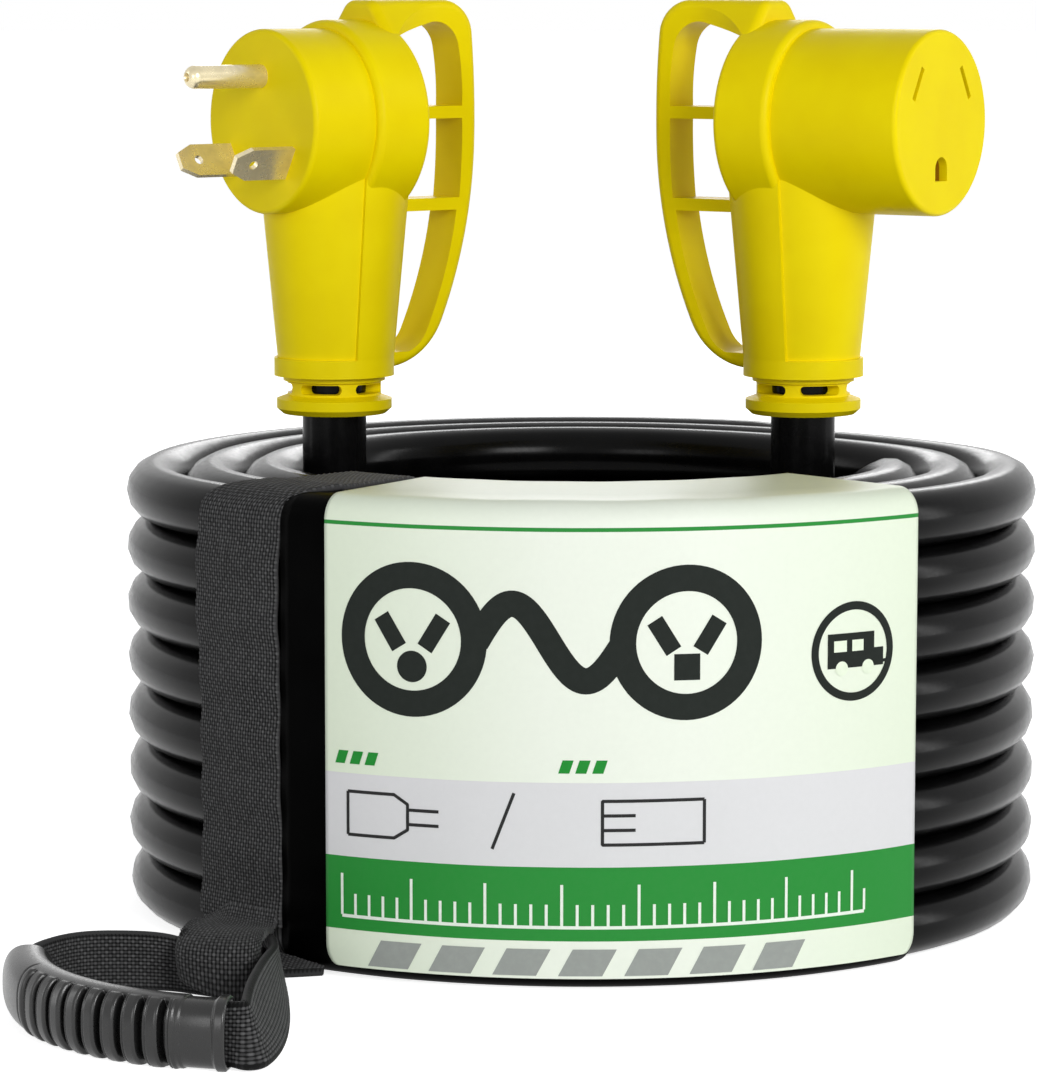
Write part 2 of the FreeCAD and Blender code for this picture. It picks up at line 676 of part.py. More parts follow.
def core(label, name, start_x, side, contact_z, drop_y):
    """Insulated conductor from a crimp, back and down into the end of the cable."""
    drop_x, turn_x = float(DIM["core_drop_x"]), float(DIM["core_turn_x"])
    contact_y = side * float(DIM["blade_side"])
    points = [
        Vector(start_x, contact_y, contact_z), Vector(turn_x, contact_y, contact_z),
        Vector(drop_x, drop_y, float(DIM["core_join_z"])),
        Vector(drop_x, drop_y, float(DIM["lead_end_z"]))]
    feature = tube(label, points, float(DIM["core_dia"]))
    feature.Placement = head_place(name)
    return feature


def crimps(label, name, back_x, flip):
    """Three crimp barrels in one node, one behind each contact."""
    rings = []
    drop = float(DIM["blade_drop"]) * flip
    places = [(-float(DIM["blade_side"]), drop), (float(DIM["blade_side"]), drop),
              (0.0, -flip * float(DIM["ground_rise"]))]
    for number, (y, z) in enumerate(places):
        place = head_place(name) * at(back_x - DIM["crimp_length"], y, z, ALONG_X)
        ring = doc.addObject("Part::Cylinder", "%s_outer_%d" % (label, number))
        bind(ring, "Radius", DIM["crimp_dia"] / 2)
        bind(ring, "Height", DIM["crimp_length"])
        ring.Placement = place
        hole = doc.addObject("Part::Cylinder", "%s_hole_%d" % (label, number))
        bind(hole, "Radius", DIM["core_dia"] / 2)
        bind(hole, "Height", DIM["crimp_length"] / 2)
        hole.Placement = place
        barrel = doc.addObject("Part::Cut", "%s_%d" % (label, number))
        barrel.Base, barrel.Tool = ring, hole
        rings.append(barrel)
    group = doc.addObject("Part::Compound", label)
    group.Label = label
    group.Links = rings
    PARTS.append(group)
    return group


def wiring(name, face_x, contact_length, flip):
    """Crimps and cores; flip is -1 where the two blades are below the ground pin."""
    back = face_x - contact_length
    crimps(name + "_crimps", name, back, flip)
    start = float(back - DIM["crimp_length"] / 2)
    drop, rise = flip * float(DIM["blade_drop"]), -flip * float(DIM["ground_rise"])
    spread = float(DIM["core_spread"])
    core(name + "_line_core", name, start, -1, drop, -spread)
    core(name + "_neutral_core", name, start, 1, drop, spread)
    core(name + "_ground_core", name, start, 0, rise, 0.0)


def cable_sleeve(name):
    """Shrunk sleeve over the cable, from inside the collar to below it."""
    body = new_body(name + "_cable_sleeve")
    top = DIM["band_end_z"]
    foot = top - DIM["relief_height"] - DIM["sleeve_below"]
    sketch = outline(body, "wall", "XZ_Plane", [
        (DIM["cable_dia"] / 2, foot), (DIM["sleeve_dia"] / 2 - 0.3, foot),
        (DIM["sleeve_dia"] / 2, foot + 1.5), (DIM["sleeve_dia"] / 2, top),
        (DIM["cable_dia"] / 2, top)])
    revolve(body, sketch, "V_Axis")
    body.Placement = head_place(name)
    return body


def plug():
    face, name = DIM["plug_face_x"], "plug"
    body = front_shell(name, face)
    cut_plug_contacts(body, face - DIM["skin"] - 1, DIM["skin"] + 5)
    grip_shell(name, face)
    strain_relief(name)
    tilt = float(DIM["blade_tilt"])
    flat_blade("plug_line_blade", name, -1, tilt)
    flat_blade("plug_neutral_blade", name, 1, -tilt)
    ground_pin("plug_ground_pin", name)
    blade_carrier("plug_blade_carrier", name)
    wiring(name, face, DIM["blade_in"], -1)
    cable_sleeve(name)


def socket():
    face, name = DIM["socket_face_x"], "socket"
    body = front_shell(name, face)
    cut_socket_slots(body, face - DIM["skin"] - 1, DIM["skin"] + 5)
    grip_shell(name, face)
    strain_relief(name)
    tilt = float(DIM["blade_tilt"])
    contact_clip("socket_line_contact", name, -1, -tilt)
    contact_clip("socket_neutral_contact", name, 1, tilt)
    ground_tube("socket_ground_contact", name)
    contact_carrier("socket_contact_carrier", name)
    wiring(name, face, DIM["slot_depth"], 1)
    cable_sleeve(name)


# ---------------------------------------------------------------- the bundle
def sector_turn(start, end):
    """Turn about Z that carries a sector centred on +X to its bearing from -Y."""
    return Rotation(Vector(0, 0, 1), (float(start) + float(end)) / 2 - 90)


def lobed_outline(body, name, lift):
    """Section of the coil: one shallow lobe for each turn that shows."""
    pitch, radius = DIM["cable_dia"], DIM["cable_dia"] / 2
    outer, step = DIM["coil_radius"] + radius, DIM["layer_pitch"]
    inner = DIM["coil_radius"] - step * (int(DIM["coil_layers"]) - 1) - radius
    levels, layers = int(DIM["coil_levels"]), int(DIM["coil_layers"])
    depth, bulge = DIM["lobe_depth"], DIM["lobe_bulge"]
    low, high = lift + depth, lift + pitch * levels - depth
    left, right = inner + depth, outer - depth
    width = (right - left) / layers
    tall = (high - low) / levels
    corners = [(left + width * k, low, bulge) for k in range(layers)]
    corners += [(right, low + tall * k, bulge) for k in range(levels)]
    corners += [(right - width * k, high, bulge) for k in range(layers)]
    corners += [(left, high - tall * k, bulge) for k in range(levels)]
    return outline(body, name, "XZ_Plane", corners)


def cable_coil():
    """Outer shape of the wound turns, lifted where the wrap and the strap pass below."""
    body = new_body("cable_coil")
    lift = DIM["wrap_thickness"] + DIM["wrap_gap"]
    tied = DIM["wrap_end"] - DIM["strap_start"] + 1
    revolve(body, lobed_outline(body, "free_turns", Size.of(0)), "V_Axis")
    sketch = outline(body, "tied_room", "XZ_Plane", [
        (60, -5), (160, -5), (160, 150), (60, 150)])
    revolve(body, sketch, "V_Axis", tied, cut=True)
    revolve(body, lobed_outline(body, "tied_turns", lift), "V_Axis", tied)
    inner_turn(body, 8.6, 110, 214)
    inner_turn(body, 25.2, -35, 83)
    body.Placement = at(rotation=sector_turn(DIM["strap_start"], DIM["wrap_end"]))
    return body


def inner_turn(body, height, start, end):
    """Part of a turn that leads into the coil, between two bearings from +X."""
    feature = body.newObject("PartDesign::AdditiveTorus", "inner_turn")
    bind(feature, "Radius1", DIM["inner_turn_radius"])
    bind(feature, "Radius2", DIM["cable_dia"] / 2)
    bind(feature, "Angle3", end - start)
    own_turn = start - (float(DIM["strap_start"]) + float(DIM["wrap_end"])) / 2 + 90
    feature.Placement = at(z=height, rotation=Rotation(Vector(0, 0, 1), own_turn))


def band_around(label, start, end):
    """Closed band around the coil's section, over one sector."""
    body = new_body(label)
    gap, thick, corner = DIM["wrap_gap"], DIM["wrap_thickness"], DIM["wrap_corner"]
    radius = DIM["cable_dia"] / 2
    outer = DIM["coil_radius"] + radius + gap
    inner = DIM["coil_radius"] - DIM["layer_pitch"] * 2 - radius - gap
    low = thick
    high = thick + gap * 2 + DIM["cable_dia"] * DIM["coil_levels"]
    grown = corner + thick
    sketch = outline(body, "outside", "XZ_Plane", [
        (inner - thick + grown, low - thick), (outer + thick - grown, low - thick, grown),
        (outer + thick, low - thick + grown), (outer + thick, high + thick - grown, grown),
        (outer + thick - grown, high + thick), (inner - thick + grown, high + thick, grown),
        (inner - thick, high + thick - grown), (inner - thick, low - thick + grown, grown)])
    revolve(body, sketch, "V_Axis", end - start)
    sketch = outline(body, "inside", "XZ_Plane", [
        (inner + corner, low), (outer - corner, low, corner),
        (outer, low + corner), (outer, high - corner, corner),
        (outer - corner, high), (inner + corner, high, corner),
        (inner, high - corner), (inner, low + corner, corner)])
    revolve(body, sketch, "V_Axis", end - start + 1, cut=True)
    body.Placement = at(rotation=sector_turn(start, end))
    return body


def label_card():
    """Card over the wrap: across the top, down the front, ending above the floor."""
    body = new_body("label_card")
    start, end = DIM["label_start"], DIM["label_end"]
    thick, gap, wrap = DIM["label_thickness"], DIM["label_gap"], DIM["wrap_thickness"]
    face = DIM["coil_radius"] + DIM["cable_dia"] / 2 + DIM["wrap_gap"] + wrap + gap
    top = wrap * 2 + DIM["wrap_gap"] * 2 + DIM["cable_dia"] * DIM["coil_levels"] + gap
    corner = DIM["wrap_corner"] + wrap + gap
    foot, back = DIM["label_foot"], DIM["label_inner_radius"]
    grown = corner + thick
    sketch = outline(body, "section", "XZ_Plane", [
        (face, foot), (face + thick, foot), (face + thick, top + thick - grown, grown),
        (face + thick - grown, top + thick), (back, top + thick), (back, top),
        (face - corner, top, -corner), (face, top - corner)])
    revolve(body, sketch, "V_Axis", end - start)
    body.Placement = at(rotation=sector_turn(start, end))
    return body


# ---------------------------------------------------------------- the leads
PLUG_LEAD = [
    (-73.4, 0, 172), (-73.4, 0, 98), (-73.6, 14, 64), (-66, 39.5, 40),
    (-42.5, 65.5, 25.6), (-12, 77, 25.2), (20.2, 75.3, 25.2),
]
SOCKET_LEAD = [
    (66, 0, 172), (66, 0, 130), (65.6, 1, 86), (61.5, 14.5, 50), (47.5, 36.5, 23.5),
    (22, 66, 9.6), (-4.5, 77.7, 8.6), (-35.8, 69.3, 8.6),
]


def leads():
    for label, route in (("cable_plug_lead", PLUG_LEAD), ("cable_socket_lead", SOCKET_LEAD)):
        name = label.split("_")[1]
        top = float(DIM["heads_z"] + DIM["lead_end_z"])
        points = [Vector(*place) for place in route]
        points[0].z = top
        tube(label, points, float(DIM["cable_dia"]))


# ---------------------------------------------------------- the carry handle
def handle_arc_point(bearing):
    """Point of the grip's arc, at a bearing from -Y towards -X."""
    angle = math.radians(bearing)
    radius = float(DIM["handle_radius"])
    return Vector(float(DIM["handle_x"]) - radius * math.sin(angle),
                  float(DIM["handle_y"]) - radius * math.cos(angle), float(DIM["handle_mid_z"]))


def handle_webbing():
    """Folded webbing on edge: out from the strap, through the rubber grip and back."""
    mid = float(DIM["handle_mid_z"])
    start = float(DIM["rubber_start"])
    end = start + float(DIM["rubber_sweep"])
    right, left = handle_arc_point(start), handle_arc_point(end)
    middle = handle_arc_point((start + end) / 2)
    before = [Vector(-106.5, -94.5, mid), Vector(-124, -104, mid), Vector(-141, -124, mid)]
    after = [Vector(-78.5, -219, mid), Vector(-76, -192, mid), Vector(-80, -152, mid),
             Vector(-90, -111.5, mid)]
    out = path_wire(before + [left])
    back = path_wire([right] + after)
    spine = Part.Wire(out.Edges + [Part.Arc(left, middle, right).toShape()] + back.Edges)
    half_thick, half_high = DIM["handle_web_thickness"] / 2, DIM["handle_web_height"] / 2
    ahead = (before[1] - before[0]).normalize()
    across = Vector(ahead.y, -ahead.x, 0) * float(half_thick)
    rise = Vector(0, 0, float(half_high))
    corners = [before[0] + across + rise, before[0] + across - rise,
               before[0] - across - rise, before[0] - across + rise]
    section = Part.makePolygon(corners + [corners[0]])
    feature = doc.addObject("Part::Feature", "handle_webbing")
    feature.Label = "handle_webbing"
    feature.Shape = spine.makePipeShell([section], True, False, 1)
    PARTS.append(feature)
    return feature


def oval(body, name, depth, height):
    """Upright oval section of the grip, as four arcs around its two half sizes."""
    centre = DIM["handle_radius"]
    side, top = depth / 2, height / 2
    return outline(body, name, "XZ_Plane", [
        (centre, -top, top * 1.04), (centre + side, 0, top * 1.04),
        (centre, top, top * 1.04), (centre - side, 0, top * 1.04)])


def carry_grip():
    """Curved rubber tube with raised ribs, turned about the centre of its arc."""
    body = new_body("carry_grip")
    sweep, depth, height = DIM["rubber_sweep"], DIM["rubber_depth"], DIM["rubber_height"]
    revolve(body, oval(body, "tube", depth, height), "V_Axis", sweep)
    rise, rib_sweep = DIM["rubber_rib_rise"], DIM["rubber_rib_sweep"]
    first, last = 3 - sweep / 2, sweep / 2 - DIM["rubber_plain"]
    rib = oval(body, "rib", depth + rise * 2, height)
    rib.AttachmentOffset = Placement(Vector(), Rotation(Vector(0, 1, 0), float(first)))
    ring = revolve(body, rib, "V_Axis", rib_sweep)
    pattern = body.newObject("PartDesign::PolarPattern", "ribs")
    pattern.Originals = [ring]
    pattern.Axis = (rib, ["V_Axis"])
    bind(pattern, "Occurrences", DIM["rubber_ribs"])
    bind(pattern, "Angle", last - first)
    body.Tip = pattern
    centre = DIM["handle_radius"]
    half_thick, half_high = DIM["handle_web_thickness"] / 2, DIM["handle_web_height"] / 2
    hole = outline(body, "webbing_room", "XZ_Plane", [
        (centre - half_thick, -half_high), (centre + half_thick, -half_high),
        (centre + half_thick, half_high), (centre - half_thick, half_high)])
    revolve(body, hole, "V_Axis", sweep + 1, cut=True)
    middle = float(DIM["rubber_start"] + sweep / 2)
    body.Placement = at(DIM["handle_x"], DIM["handle_y"], DIM["handle_mid_z"],
                        Rotation(Vector(0, 0, 1), -90 - middle))
    return body


plug()
socket()
cable_coil()
band_around("bundle_wrap", DIM["wrap_start"], DIM["wrap_end"])
band_around("strap_webbing", DIM["strap_start"], DIM["strap_end"])
label_card()
leads()
handle_webbing()
carry_grip()
doc.recompute()

# ----------------------------------------------------------- check and write
for item in doc.Objects:
    if "Invalid" in item.State or "Error" in item.State:
        raise RuntimeError("%s (%s) failed: %s" % (item.Name, item.Label, item.State))
for part in PARTS:
    if part.Shape.isNull() or not part.Shape.isValid():
        raise RuntimeError(part.Label + " has no valid shape")
os.makedirs("parts", exist_ok=True)
for part in PARTS:
    part.Shape.exportStep("parts/%s.step" % part.Label)
    print("%-24s solids %d  volume %.0f" % (part.Label, len(part.Shape.Solids), part.Shape.Volume))
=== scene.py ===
"""Looks of a coiled shore power cord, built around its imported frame.

Everything is in metres, in the frame of the cord: the coil's upright axis is Z, the
floor is z = 0 and the label card faces -Y.  Run as a script, it registers its panel
and operators and then calls them in order.
"""
import math

import bmesh
import bpy
import numpy as np
from mathutils import Matrix, Vector


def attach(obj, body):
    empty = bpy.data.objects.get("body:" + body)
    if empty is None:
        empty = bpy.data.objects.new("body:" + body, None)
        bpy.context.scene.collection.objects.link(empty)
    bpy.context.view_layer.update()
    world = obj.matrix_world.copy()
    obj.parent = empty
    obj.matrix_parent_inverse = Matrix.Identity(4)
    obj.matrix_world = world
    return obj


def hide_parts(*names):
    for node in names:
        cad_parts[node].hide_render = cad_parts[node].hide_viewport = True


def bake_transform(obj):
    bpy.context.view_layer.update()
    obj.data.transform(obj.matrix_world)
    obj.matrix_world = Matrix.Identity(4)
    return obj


bl_info = {
    "name": "Shore Power Cord",
    "version": (1, 0, 0),
    "blender": (4, 5, 0),
    "location": "View3D > Sidebar > Shore Cord",
    "description": "Cable, webbing, card, grip and finishes of a coiled shore power cord",
    "category": "Object",
}

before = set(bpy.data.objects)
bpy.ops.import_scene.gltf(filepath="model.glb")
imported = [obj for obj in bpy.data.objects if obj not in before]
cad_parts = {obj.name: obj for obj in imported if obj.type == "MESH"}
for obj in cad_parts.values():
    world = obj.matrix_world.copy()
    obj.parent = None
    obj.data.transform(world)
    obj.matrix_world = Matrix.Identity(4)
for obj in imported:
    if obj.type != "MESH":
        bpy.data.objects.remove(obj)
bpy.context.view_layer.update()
MM = 0.001


# ------------------------------------------------------------------ sizes, finishes
def length(name, text, value, least=0.0):
    """Property that holds a size in metres."""
    return bpy.props.FloatProperty(name=name, description=text, default=value, min=least,
                                   unit="LENGTH", precision=5)


def angle(name, text, degrees):
    """Property that holds a bearing, given in degrees and kept in radians."""
    return bpy.props.FloatProperty(name=name, description=text, default=math.radians(degrees),
                                   unit="ROTATION")


def colour(name, text, value):
    """Property that holds a colour in linear light."""
    return bpy.props.FloatVectorProperty(name=name, description=text, default=value, size=3,
                                         subtype="COLOR", min=0.0, max=1.0)


class SHORE_PG_cable(bpy.types.PropertyGroup):
    """Sizes of the cable and of its coil."""
    diameter: length("Jacket diameter", "Outer diameter of the cable's jacket", 16.5 * MM)
    outer_radius: length("Outer layer", "Radius of the outer layer's centre line", 126.6 * MM)
    layer_pitch: length("Layer pitch", "Distance between two layers", 17.0 * MM)
    lead_radius: length("Lead-in radius", "Radius of the turn inside the coil", 76.4 * MM)
    lift: length("Lift", "How far the turns rise over the film below them", 0.7 * MM)
    black: colour("Jacket", "Colour of the cable's jacket", (0.0015, 0.0015, 0.0016))


class SHORE_PG_ties(bpy.types.PropertyGroup):
    """Sizes of the wrap, the card and the webbing."""
    band: length("Band thickness", "How far the tied bands stand out from the coil", 2.2 * MM)
    webbing_thick: length("Webbing thickness", "Thickness of the strap's webbing", 1.8 * MM)
    film_thick: length("Film thickness", "Thickness of the wrap film", 0.6 * MM)
    gap: length("Band gap", "Gap between the coil and its bands", 0.2 * MM)
    wrap_from: angle("Wrap from", "Bearing where the film starts, from -Y", -37.0)
    wrap_to: angle("Wrap to", "Bearing where the film ends, from -Y", 42.5)
    strap_from: angle("Strap from", "Bearing where the strap starts, from -Y", -51.2)
    strap_to: angle("Strap to", "Bearing where the strap ends, from -Y", -37.3)
    card_from: angle("Card from", "Bearing where the card starts, from -Y", -30.4)
    card_to: angle("Card to", "Bearing where the card ends, from -Y", 42.3)
    card: colour("Card", "Colour of the label card", (0.80, 0.89, 0.71))
    green: colour("Print", "Colour of the green print", (0.022, 0.27, 0.040))
    webbing: colour("Webbing", "Colour of the woven strap", (0.070, 0.070, 0.071))


class SHORE_PG_heads(bpy.types.PropertyGroup):
    """Colours of the two heads and of their contacts."""
    yellow: colour("Moulding", "Colour of the moulded heads", (0.90, 0.73, 0.0))
    brass: colour("Contacts", "Colour of the blades and the pin", (0.80, 0.70, 0.46))


def sizes():
    """The scene's property groups: cable, ties and heads."""
    scene = bpy.context.scene
    return scene.shore_cable, scene.shore_ties, scene.shore_heads


LEVELS = 8
TURNS = 3 * LEVELS
FILM_LIFT = 0.1 * MM


def turns_top():
    """Height of the topmost turns where they are tied."""
    cable = sizes()[0]
    return LEVELS * cable.diameter + cable.lift


def film_top():
    """Height of the wrap film's upper face."""
    ties = sizes()[1]
    return turns_top() + FILM_LIFT + ties.film_thick


def coil_face():
    """Radius of the outermost turns' outer side, with the gap to what is tied on."""
    cable, ties, _ = sizes()
    return cable.outer_radius + cable.diameter / 2 + ties.gap


def coil_bore():
    """Radius of the innermost turns' inner side, less the gap to what is tied on."""
    cable, ties, _ = sizes()
    return cable.outer_radius - 2 * cable.layer_pitch - cable.diameter / 2 - ties.gap


# ------------------------------------------------------------------------- materials
class Nodes:
    """Short way to write a node tree: each call adds a node and returns its output."""

    def __init__(self, name):
        self.material = bpy.data.materials.new(name)
        self.material.use_nodes = True
        self.tree = self.material.node_tree
        self.shader = self.tree.nodes["Principled BSDF"]

    def add(self, kind, output=0, inputs=(), **settings):
        """New node: its settings, its inputs as values or links, and one output."""
        node = self.tree.nodes.new(kind)
        for key, value in settings.items():
            setattr(node, key, value)
        for key, value in dict(inputs).items():
            if isinstance(value, bpy.types.NodeSocket):
                self.tree.links.new(value, node.inputs[key])
            else:
                node.inputs[key].default_value = value
        return node.outputs[output]

    def maths(self, operation, first, second=0.0):
        """Result of a sum, a comparison or the like."""
        return self.add("ShaderNodeMath", operation=operation, inputs={0: first, 1: second})

    def place(self):
        """Object coordinates, in metres in the cord's frame."""
        return self.add("ShaderNodeTexCoord", output="Object")

    def noise(self, vector, scale, detail=3.0, rough=0.5):
        """Soft noise, with the scale in waves per metre."""
        return self.add("ShaderNodeTexNoise", inputs={
            "Vector": vector, "Scale": scale, "Detail": detail, "Roughness": rough})

    def ramp(self, factor, low, high, start=0.0, end=1.0):
        """Low to high, as the factor goes from start to end."""
        return self.add("ShaderNodeMapRange", inputs={
            "Value": factor, "From Min": start, "From Max": end, "To Min": low, "To Max": high})

    def mix(self, factor, first, second):
        """Colour between two others, by the factor."""
        node = self.tree.nodes.new("ShaderNodeMix")
        node.data_type = "RGBA"
        for slot, value in ((0, factor), (6, first), (7, second)):
            if isinstance(value, bpy.types.NodeSocket):
                self.tree.links.new(value, node.inputs[slot])
            elif slot == 0:
                node.inputs[slot].default_value = value
            else:
                node.inputs[slot].default_value = (*value[:3], 1.0)
        return node.outputs[2]

    def bump(self, height, strength, distance):
        """Normal that follows a height."""
        return self.add("ShaderNodeBump", inputs={
            "Height": height, "Strength": strength, "Distance": distance})

    def surface(self, **values):
        """Material with the shader's sockets set; a space in a name is an underscore."""
        for key, value in values.items():
            socket = self.shader.inputs[key.replace("_", " ")]
            if isinstance(value, bpy.types.NodeSocket):
                self.tree.links.new(value, socket)
            elif socket.type == "RGBA":
                socket.default_value = (*value[:3], 1.0)
            else:
                socket.default_value = value
        return self.material


def moulded_yellow(heads):
    """Satin PVC: faint mottling of the colour, a fine grain and soft moulding waves."""
    nodes = Nodes("moulded_yellow")
    where = nodes.place()
    cloud = nodes.noise(where, 60.0, 2.0)
    grain = nodes.noise(where, 2600.0, 2.0)
    tone = tuple(heads.yellow)
    deep = (tone[0] * 0.96, tone[1] * 0.93, tone[2])
    return nodes.surface(
        Base_Color=nodes.mix(nodes.ramp(cloud, 0.0, 1.0, 0.3, 0.7), tone, deep),
        Roughness=nodes.ramp(nodes.noise(where, 220.0), 0.36, 0.50),
        Specular_IOR_Level=0.08, Normal=nodes.bump(grain, 0.10, 0.0002))


def jacket_black(cable):
    """Glossy extruded jacket: fine die lines and a slightly uneven gloss."""
    nodes = Nodes("jacket_black")
    where = nodes.place()
    cloud = nodes.noise(where, 90.0, 3.0)
    fine = nodes.noise(where, 900.0, 2.0)
    black = tuple(cable.black)
    lighter = tuple(channel * 1.6 + 0.001 for channel in black)
    return nodes.surface(
        Base_Color=nodes.mix(nodes.ramp(cloud, 0.0, 1.0, 0.35, 0.7), black, lighter),
        Roughness=nodes.ramp(fine, 0.18, 0.25, 0.3, 0.7),
        Specular_IOR_Level=0.075,
        Normal=nodes.bump(nodes.noise(where, 500.0, 3.0), 0.03, 0.0003))


def polished_brass(heads):
    """Drawn brass: rolling lines along the piece and light handling marks."""
    nodes = Nodes("polished_brass")
    where = nodes.place()
    tone = tuple(heads.brass)
    dull = tuple(channel * 0.72 for channel in tone)
    marks = nodes.noise(where, 240.0, 4.0, 0.6)
    fine = nodes.noise(where, 2400.0, 2.0)
    return nodes.surface(
        Base_Color=nodes.mix(nodes.ramp(marks, 0.0, 0.7, 0.45, 0.75), tone, dull),
        Metallic=0.70, Roughness=nodes.ramp(marks, 0.24, 0.32, 0.3, 0.7),
        Normal=nodes.bump(fine, 0.01, 0.0001))


def plain_plastic(name, tone, rough=0.4):
    """Small moulded or extruded piece: one tone with faint clouds and a fine grain."""
    nodes = Nodes(name)
    where = nodes.place()
    darker = tuple(channel * 0.86 for channel in tone)
    cloud = nodes.noise(where, 120.0)
    return nodes.surface(
        Base_Color=nodes.mix(nodes.ramp(cloud, 0.0, 1.0, 0.3, 0.7), tone, darker),
        Roughness=nodes.ramp(nodes.noise(where, 700.0), rough - 0.05, rough + 0.06),
        Specular_IOR_Level=0.2,
        Normal=nodes.bump(nodes.noise(where, 1800.0), 0.06, 0.0002))


def tinned_metal():
    """Tinned crimps: dull grey metal with a fine grain."""
    nodes = Nodes("tinned_metal")
    where = nodes.place()
    fine = nodes.noise(where, 1500.0)
    return nodes.surface(
        Base_Color=nodes.mix(nodes.ramp(fine, 0.0, 1.0, 0.3, 0.7), (0.60, 0.60, 0.61),
                             (0.45, 0.45, 0.46)),
        Metallic=1.0, Roughness=nodes.ramp(fine, 0.28, 0.42))


def woven_black(ties):
    """Polypropylene yarn: the colour follows the woven height in the mesh, a painted shade in
    the hollows between the yarns and a painted highlight on their crests.
    """
    nodes = Nodes("woven_black")
    tone = tuple(ties.webbing)
    where = nodes.place()
    height = nodes.add("ShaderNodeAttribute", output=2, attribute_name="weave")
    fibre = nodes.noise(where, 3500.0, 3.0, 0.7)
    cloud = nodes.noise(where, 45.0, 2.0)
    # Painted shade for the hollows between the yarns and painted highlight for their crests; the
    # dark one also tints the fibres at random.
    deep = tuple(channel * 0.05 for channel in tone)
    light = tuple(channel * 2.0 for channel in tone)
    woven = nodes.mix(nodes.ramp(height, 0.0, 1.0, 0.30, 0.88), deep, light)
    faded = nodes.mix(nodes.ramp(cloud, 0.0, 0.15, 0.4, 0.75), woven, tone)
    return nodes.surface(
        Base_Color=nodes.mix(nodes.ramp(fibre, 0.0, 0.3), faded, deep),
        Roughness=0.72, Specular_IOR_Level=0.08, Sheen_Weight=0.03, Sheen_Roughness=0.5,
        Normal=nodes.bump(fibre, 0.25, 0.0003))


def smooth_film():
    """Black wrap film: glossy, with faint creases."""
    nodes = Nodes("smooth_film")
    where = nodes.place()
    crease = nodes.noise(where, 38.0, 4.0, 0.55)
    return nodes.surface(
        Base_Color=nodes.mix(nodes.ramp(crease, 0.0, 1.0, 0.4, 0.8), (0.0008, 0.0008, 0.0008),
                             (0.002, 0.002, 0.002)),
        Roughness=nodes.ramp(crease, 0.30, 0.42), Specular_IOR_Level=0.01,
        Normal=nodes.bump(crease, 0.12, 0.002))


def rubber_black():
    """Moulded rubber grip: dark grey, satin, with a fine matt grain."""
    nodes = Nodes("rubber_black")
    where = nodes.place()
    grain = nodes.noise(where, 1400.0, 3.0)
    cloud = nodes.noise(where, 70.0, 3.0)
    return nodes.surface(
        Base_Color=nodes.mix(nodes.ramp(cloud, 0.0, 1.0, 0.35, 0.7), (0.006, 0.006, 0.006),
                             (0.011, 0.011, 0.011)),
        Roughness=nodes.ramp(grain, 0.24, 0.33), Specular_IOR_Level=0.50,
        Normal=nodes.bump(grain, 0.08, 0.0002))


# Heights on the card, along its face from the floor.
GREEN_BAND = (14.4 * MM, 34.8 * MM)
GREY_BAND = (34.8 * MM, 58.0 * MM)
GREEN_LINE = (126.3 * MM, 127.4 * MM)
# Heights over which the card fades into a painted shade, over its bend and top.
PAINTED_SHADE_HEIGHTS = (128 * MM, 150 * MM)


def printed_card(ties):
    """Coated card: bands of print by height, cream to pale green towards the edges, and a
    painted shade over its bend and top.
    """
    nodes = Nodes("printed_card")
    where = nodes.place()
    parts = nodes.tree.nodes.new("ShaderNodeSeparateXYZ")
    nodes.tree.links.new(where, parts.inputs[0])
    along = nodes.add("ShaderNodeAttribute", output=2, attribute_name="climb")
    fibre = nodes.noise(where, 600.0, 3.0)
    cream, card = (0.90, 0.95, 0.84), tuple(ties.card)
    grey, painted_shade = (0.76, 0.76, 0.77), (0.61, 0.67, 0.55)
    side = nodes.maths("ABSOLUTE", nodes.maths("SUBTRACT", parts.outputs[0], 0.012))
    base = nodes.mix(nodes.ramp(side, 0.0, 1.0, 0.02, 0.085), cream, card)
    for tone, (low, high) in ((tuple(ties.green), GREEN_LINE), (grey, GREY_BAND),
                              (tuple(ties.green), GREEN_BAND)):
        inside = nodes.maths("MULTIPLY", nodes.maths("GREATER_THAN", along, low),
                             nodes.maths("LESS_THAN", along, high))
        base = nodes.mix(inside, base, tone)
    # Painted shade: the card darkens over its bend and top, where less light falls.
    base = nodes.mix(nodes.ramp(along, 0.0, 1.0, *PAINTED_SHADE_HEIGHTS), base, painted_shade)
    return nodes.surface(
        Base_Color=nodes.mix(nodes.ramp(fibre, 0.0, 0.05), base, (0.2, 0.22, 0.2)),
        Roughness=nodes.ramp(fibre, 0.34, 0.42), Specular_IOR_Level=0.12,
        Normal=nodes.bump(fibre, 0.04, 0.0002))


def print_ink(name, tone):
    """Printing ink: one tone, barely lighter where the card's fibres show through."""
    nodes = Nodes(name)
    where = nodes.place()
    fibre = nodes.noise(where, 500.0, 2.0)
    lighter = tuple(channel * 1.06 + 0.001 for channel in tone)
    return nodes.surface(
        Base_Color=nodes.mix(nodes.ramp(fibre, 0.0, 1.0, 0.4, 0.7), tone, lighter),
        Roughness=nodes.ramp(fibre, 0.34, 0.44), Specular_IOR_Level=0.06)


# ---------------------------------------------------------------------------- meshes
def mesh_object(name, points, faces, attributes=()):
    """Mesh from an array of points and an array of quads, all smooth."""
    mesh = bpy.data.meshes.new(name)
    mesh.from_pydata(points.reshape(-1, 3).tolist(), [], faces.tolist())
    mesh.update()
    for key, values in dict(attributes).items():
        layer = mesh.attributes.new(key, "FLOAT", "POINT")
        layer.data.foreach_set("value", np.ascontiguousarray(values, dtype=np.float32).ravel())
    mesh.shade_smooth()
    piece = bpy.data.objects.new(name, mesh)
    bpy.context.collection.objects.link(piece)
    return piece


